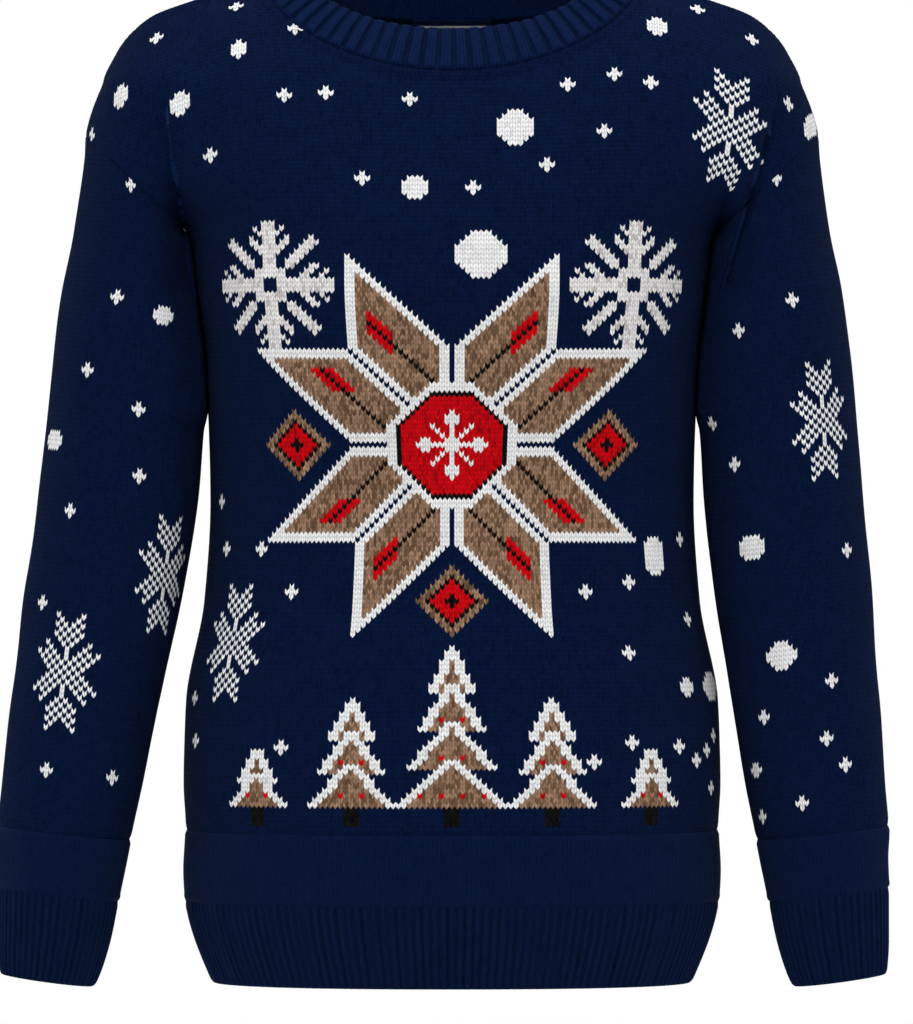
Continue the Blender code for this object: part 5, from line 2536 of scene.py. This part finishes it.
@dataclass(frozen=True)
class Studio:
    """Floor, light and camera."""

    floor_z: float = -0.80
    floor_size: float = 4.0
    world_bright: float = 1.0
    world_dim: float = 0.14
    world_top: float = 1.5
    frame_height: float = 0.6656
    sensor: float = 24.0
    view: Viewpoint = VIEWS[Side.FRONT]
    sight: float = 100.0
    behind: tuple[float, float] = (-0.35, 0.35)
    overhead: tuple[float, float] = (0.35, 0.9)
    lights: tuple[SoftLight, ...] = (
        SoftLight("overhead", (-0.15, -1.2, 1.0), (0.0, 0.0, -0.25), 1.0, 13.2),
        SoftLight("left", (-2.5, -1.5, 0.2), (0.0, 0.0, -0.4), 1.5, 5.0),
        SoftLight("right", (2.5, -1.5, 0.2), (0.0, 0.0, -0.4), 1.5, 7.0),
    )

    def build_world(self) -> None:
        """Makes the white sweep behind the garment and overhead, and the dimmer room in front."""
        world = bpy.data.worlds.new("studio")
        world.use_nodes = True
        nodes, links = world.node_tree.nodes, world.node_tree.links
        background = nodes["Background"]
        background.inputs["Color"].default_value = (1.0, 1.0, 1.0, 1.0)
        way = nodes.new("ShaderNodeTexCoord")
        split = nodes.new("ShaderNodeSeparateXYZ")
        links.new(way.outputs["Generated"], split.inputs[0])
        levels = []
        sweeps = (("Y", self.behind, self.world_bright), ("Z", self.overhead, self.world_top))
        for axis, (low, high), brightest in sweeps:
            level = nodes.new("ShaderNodeMapRange")
            level.interpolation_type = "SMOOTHSTEP"
            level.inputs["From Min"].default_value = low
            level.inputs["From Max"].default_value = high
            level.inputs["To Min"].default_value = self.world_dim
            level.inputs["To Max"].default_value = brightest
            links.new(split.outputs[axis], level.inputs["Value"])
            levels.append(level.outputs["Result"])
        links.new(math_node(world.node_tree, "MAXIMUM", *levels), background.inputs["Strength"])
        bpy.context.scene.world = world

    def build(self) -> None:
        """Sets up the studio."""
        half = self.floor_size / 2
        mesh = bpy.data.meshes.new("floor")
        corners = [(x * half, y * half, self.floor_z) for x, y in ((-1, -1), (1, -1), (1, 1), (-1, 1))]
        mesh.from_pydata(corners, [], [range(4)])
        mesh.materials.append(FloorFinish().build())
        floor = bpy.data.objects.new("floor", mesh)
        bpy.context.scene.collection.objects.link(floor)
        self.build_world()
        for light in self.lights:
            light.build()
        data = bpy.data.cameras.new("camera")
        data.sensor_fit = "VERTICAL"
        data.sensor_height = self.sensor
        data.lens = self.sensor * self.view.distance * MM / self.frame_height
        data.clip_end = self.sight
        camera = bpy.data.objects.new("camera", data)
        bpy.context.scene.collection.objects.link(camera)
        camera.location = (self.view.x * MM, -self.view.distance * MM, self.view.z * MM)
        camera.rotation_euler = (np.pi / 2, 0.0, 0.0)
        bpy.context.scene.camera = camera
        bpy.context.scene.view_settings.view_transform = "Standard"


# ---------------- the garment


@dataclass(frozen=True)
class Cut:
    """The flat size of the cloth that a piece shows, in metres, and its area."""

    width: float
    length: float
    area: float | None = None


@dataclass
class Pullover:
    """The whole garment: panels, sleeves, bands and label."""

    body: BodyForm = field(default_factory=BodyForm)
    seed: int = SEED

    def build(self) -> None:
        """Builds and dresses every piece."""
        rng = np.random.default_rng(self.seed)
        arm = ArmForm(self.body)
        jacquard = KnitFinish("jacquard_knit").build()
        # depth sets the painted shade in the gaps between legs and threads.
        rib = KnitFinish("rib_knit", 0.40, depth=0.40, mottle=0.12, sheen=0.012, courses=0.2).build()
        woven = KnitFinish("woven_label", relief=0.08, fuzz=0.2, depth=0.2, mottle=0.05, sheen=0.02).build()
        self.build_panels(jacquard, rng)
        self.build_sleeves(arm, jacquard, rng)
        self.build_bands(arm, rib, rng)
        label = NeckLabel(self.body).build("woven_neck_label", rng)
        dress(label, woven, "neck_label")

    def build_panels(self, finish: Material, rng: Rng) -> None:
        """Builds the front and the back.

        Args:
            finish: Their finish.
            rng: The draw for the yarns' variation.
        """
        for side in Side:
            panel = Panel(side=side, body=self.body)
            wales = panel.wales()
            chart = Chart.over(wales)
            if side is Side.FRONT:
                knit_design(chart, VIEWS[side])
            scatter(chart, PANEL_MOTIFS[side], VIEWS[side])
            piece = panel.knit(f"knit_{side.label}", wales, chart, rng)
            dress(piece, finish, side.label)

    def build_sleeves(self, arm: ArmForm, finish: Material, rng: Rng) -> None:
        """Builds the two sleeves.

        Args:
            arm: The form of the arms.
            finish: Their finish.
            rng: The draw for the yarns' variation.
        """
        plans = (
            ("left", -1, LEFT_SLEEVE_CREASES, LEFT_SLEEVE_MOTIFS),
            ("right", 1, RIGHT_SLEEVE_CREASES, RIGHT_SLEEVE_MOTIFS),
        )
        for label, side_sign, creases, motifs in plans:
            sleeve = Sleeve(side_sign=side_sign, arm=arm, creases=creases)
            wales = sleeve.wales()
            chart = Chart.over(wales)
            for side in Side:
                scatter(chart, motifs[side], VIEWS[side])
            piece = sleeve.knit(f"knit_{label}_sleeve", wales, chart, rng)
            dress(piece, finish, f"{label}_sleeve")

    def build_bands(self, arm: ArmForm, finish: Material, rng: Rng) -> None:
        """Builds the hem band, the cuffs and the neckband.

        Args:
            arm: The form of the arms.
            finish: The bands' finish.
            rng: The draw for the yarn's variation.
        """
        for side in Side:
            node = f"hem_band_{side.label}"
            piece = HemBand(side=side, body=self.body).build(f"rib_{node}", rng)
            dress(piece, finish, node)
        for label, side_sign in (("left", -1), ("right", 1)):
            piece = Cuff(side_sign=side_sign, arm=arm).build(f"rib_{label}_cuff", rng)
            dress(piece, finish, f"{label}_cuff")
        piece = Neckband(body=self.body).build("rib_neckband", rng)
        dress(piece, finish, "neckband")


def write_sizes() -> None:
    """Updates the view layer so that every object's placement is current."""
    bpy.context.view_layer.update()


def main() -> None:
    """Builds the garment and its studio."""
    logging.basicConfig(level=logging.INFO, format="%(message)s")
    Pullover().build()
    Studio().build()
    write_sizes()


if __name__ == "__main__":
    main()
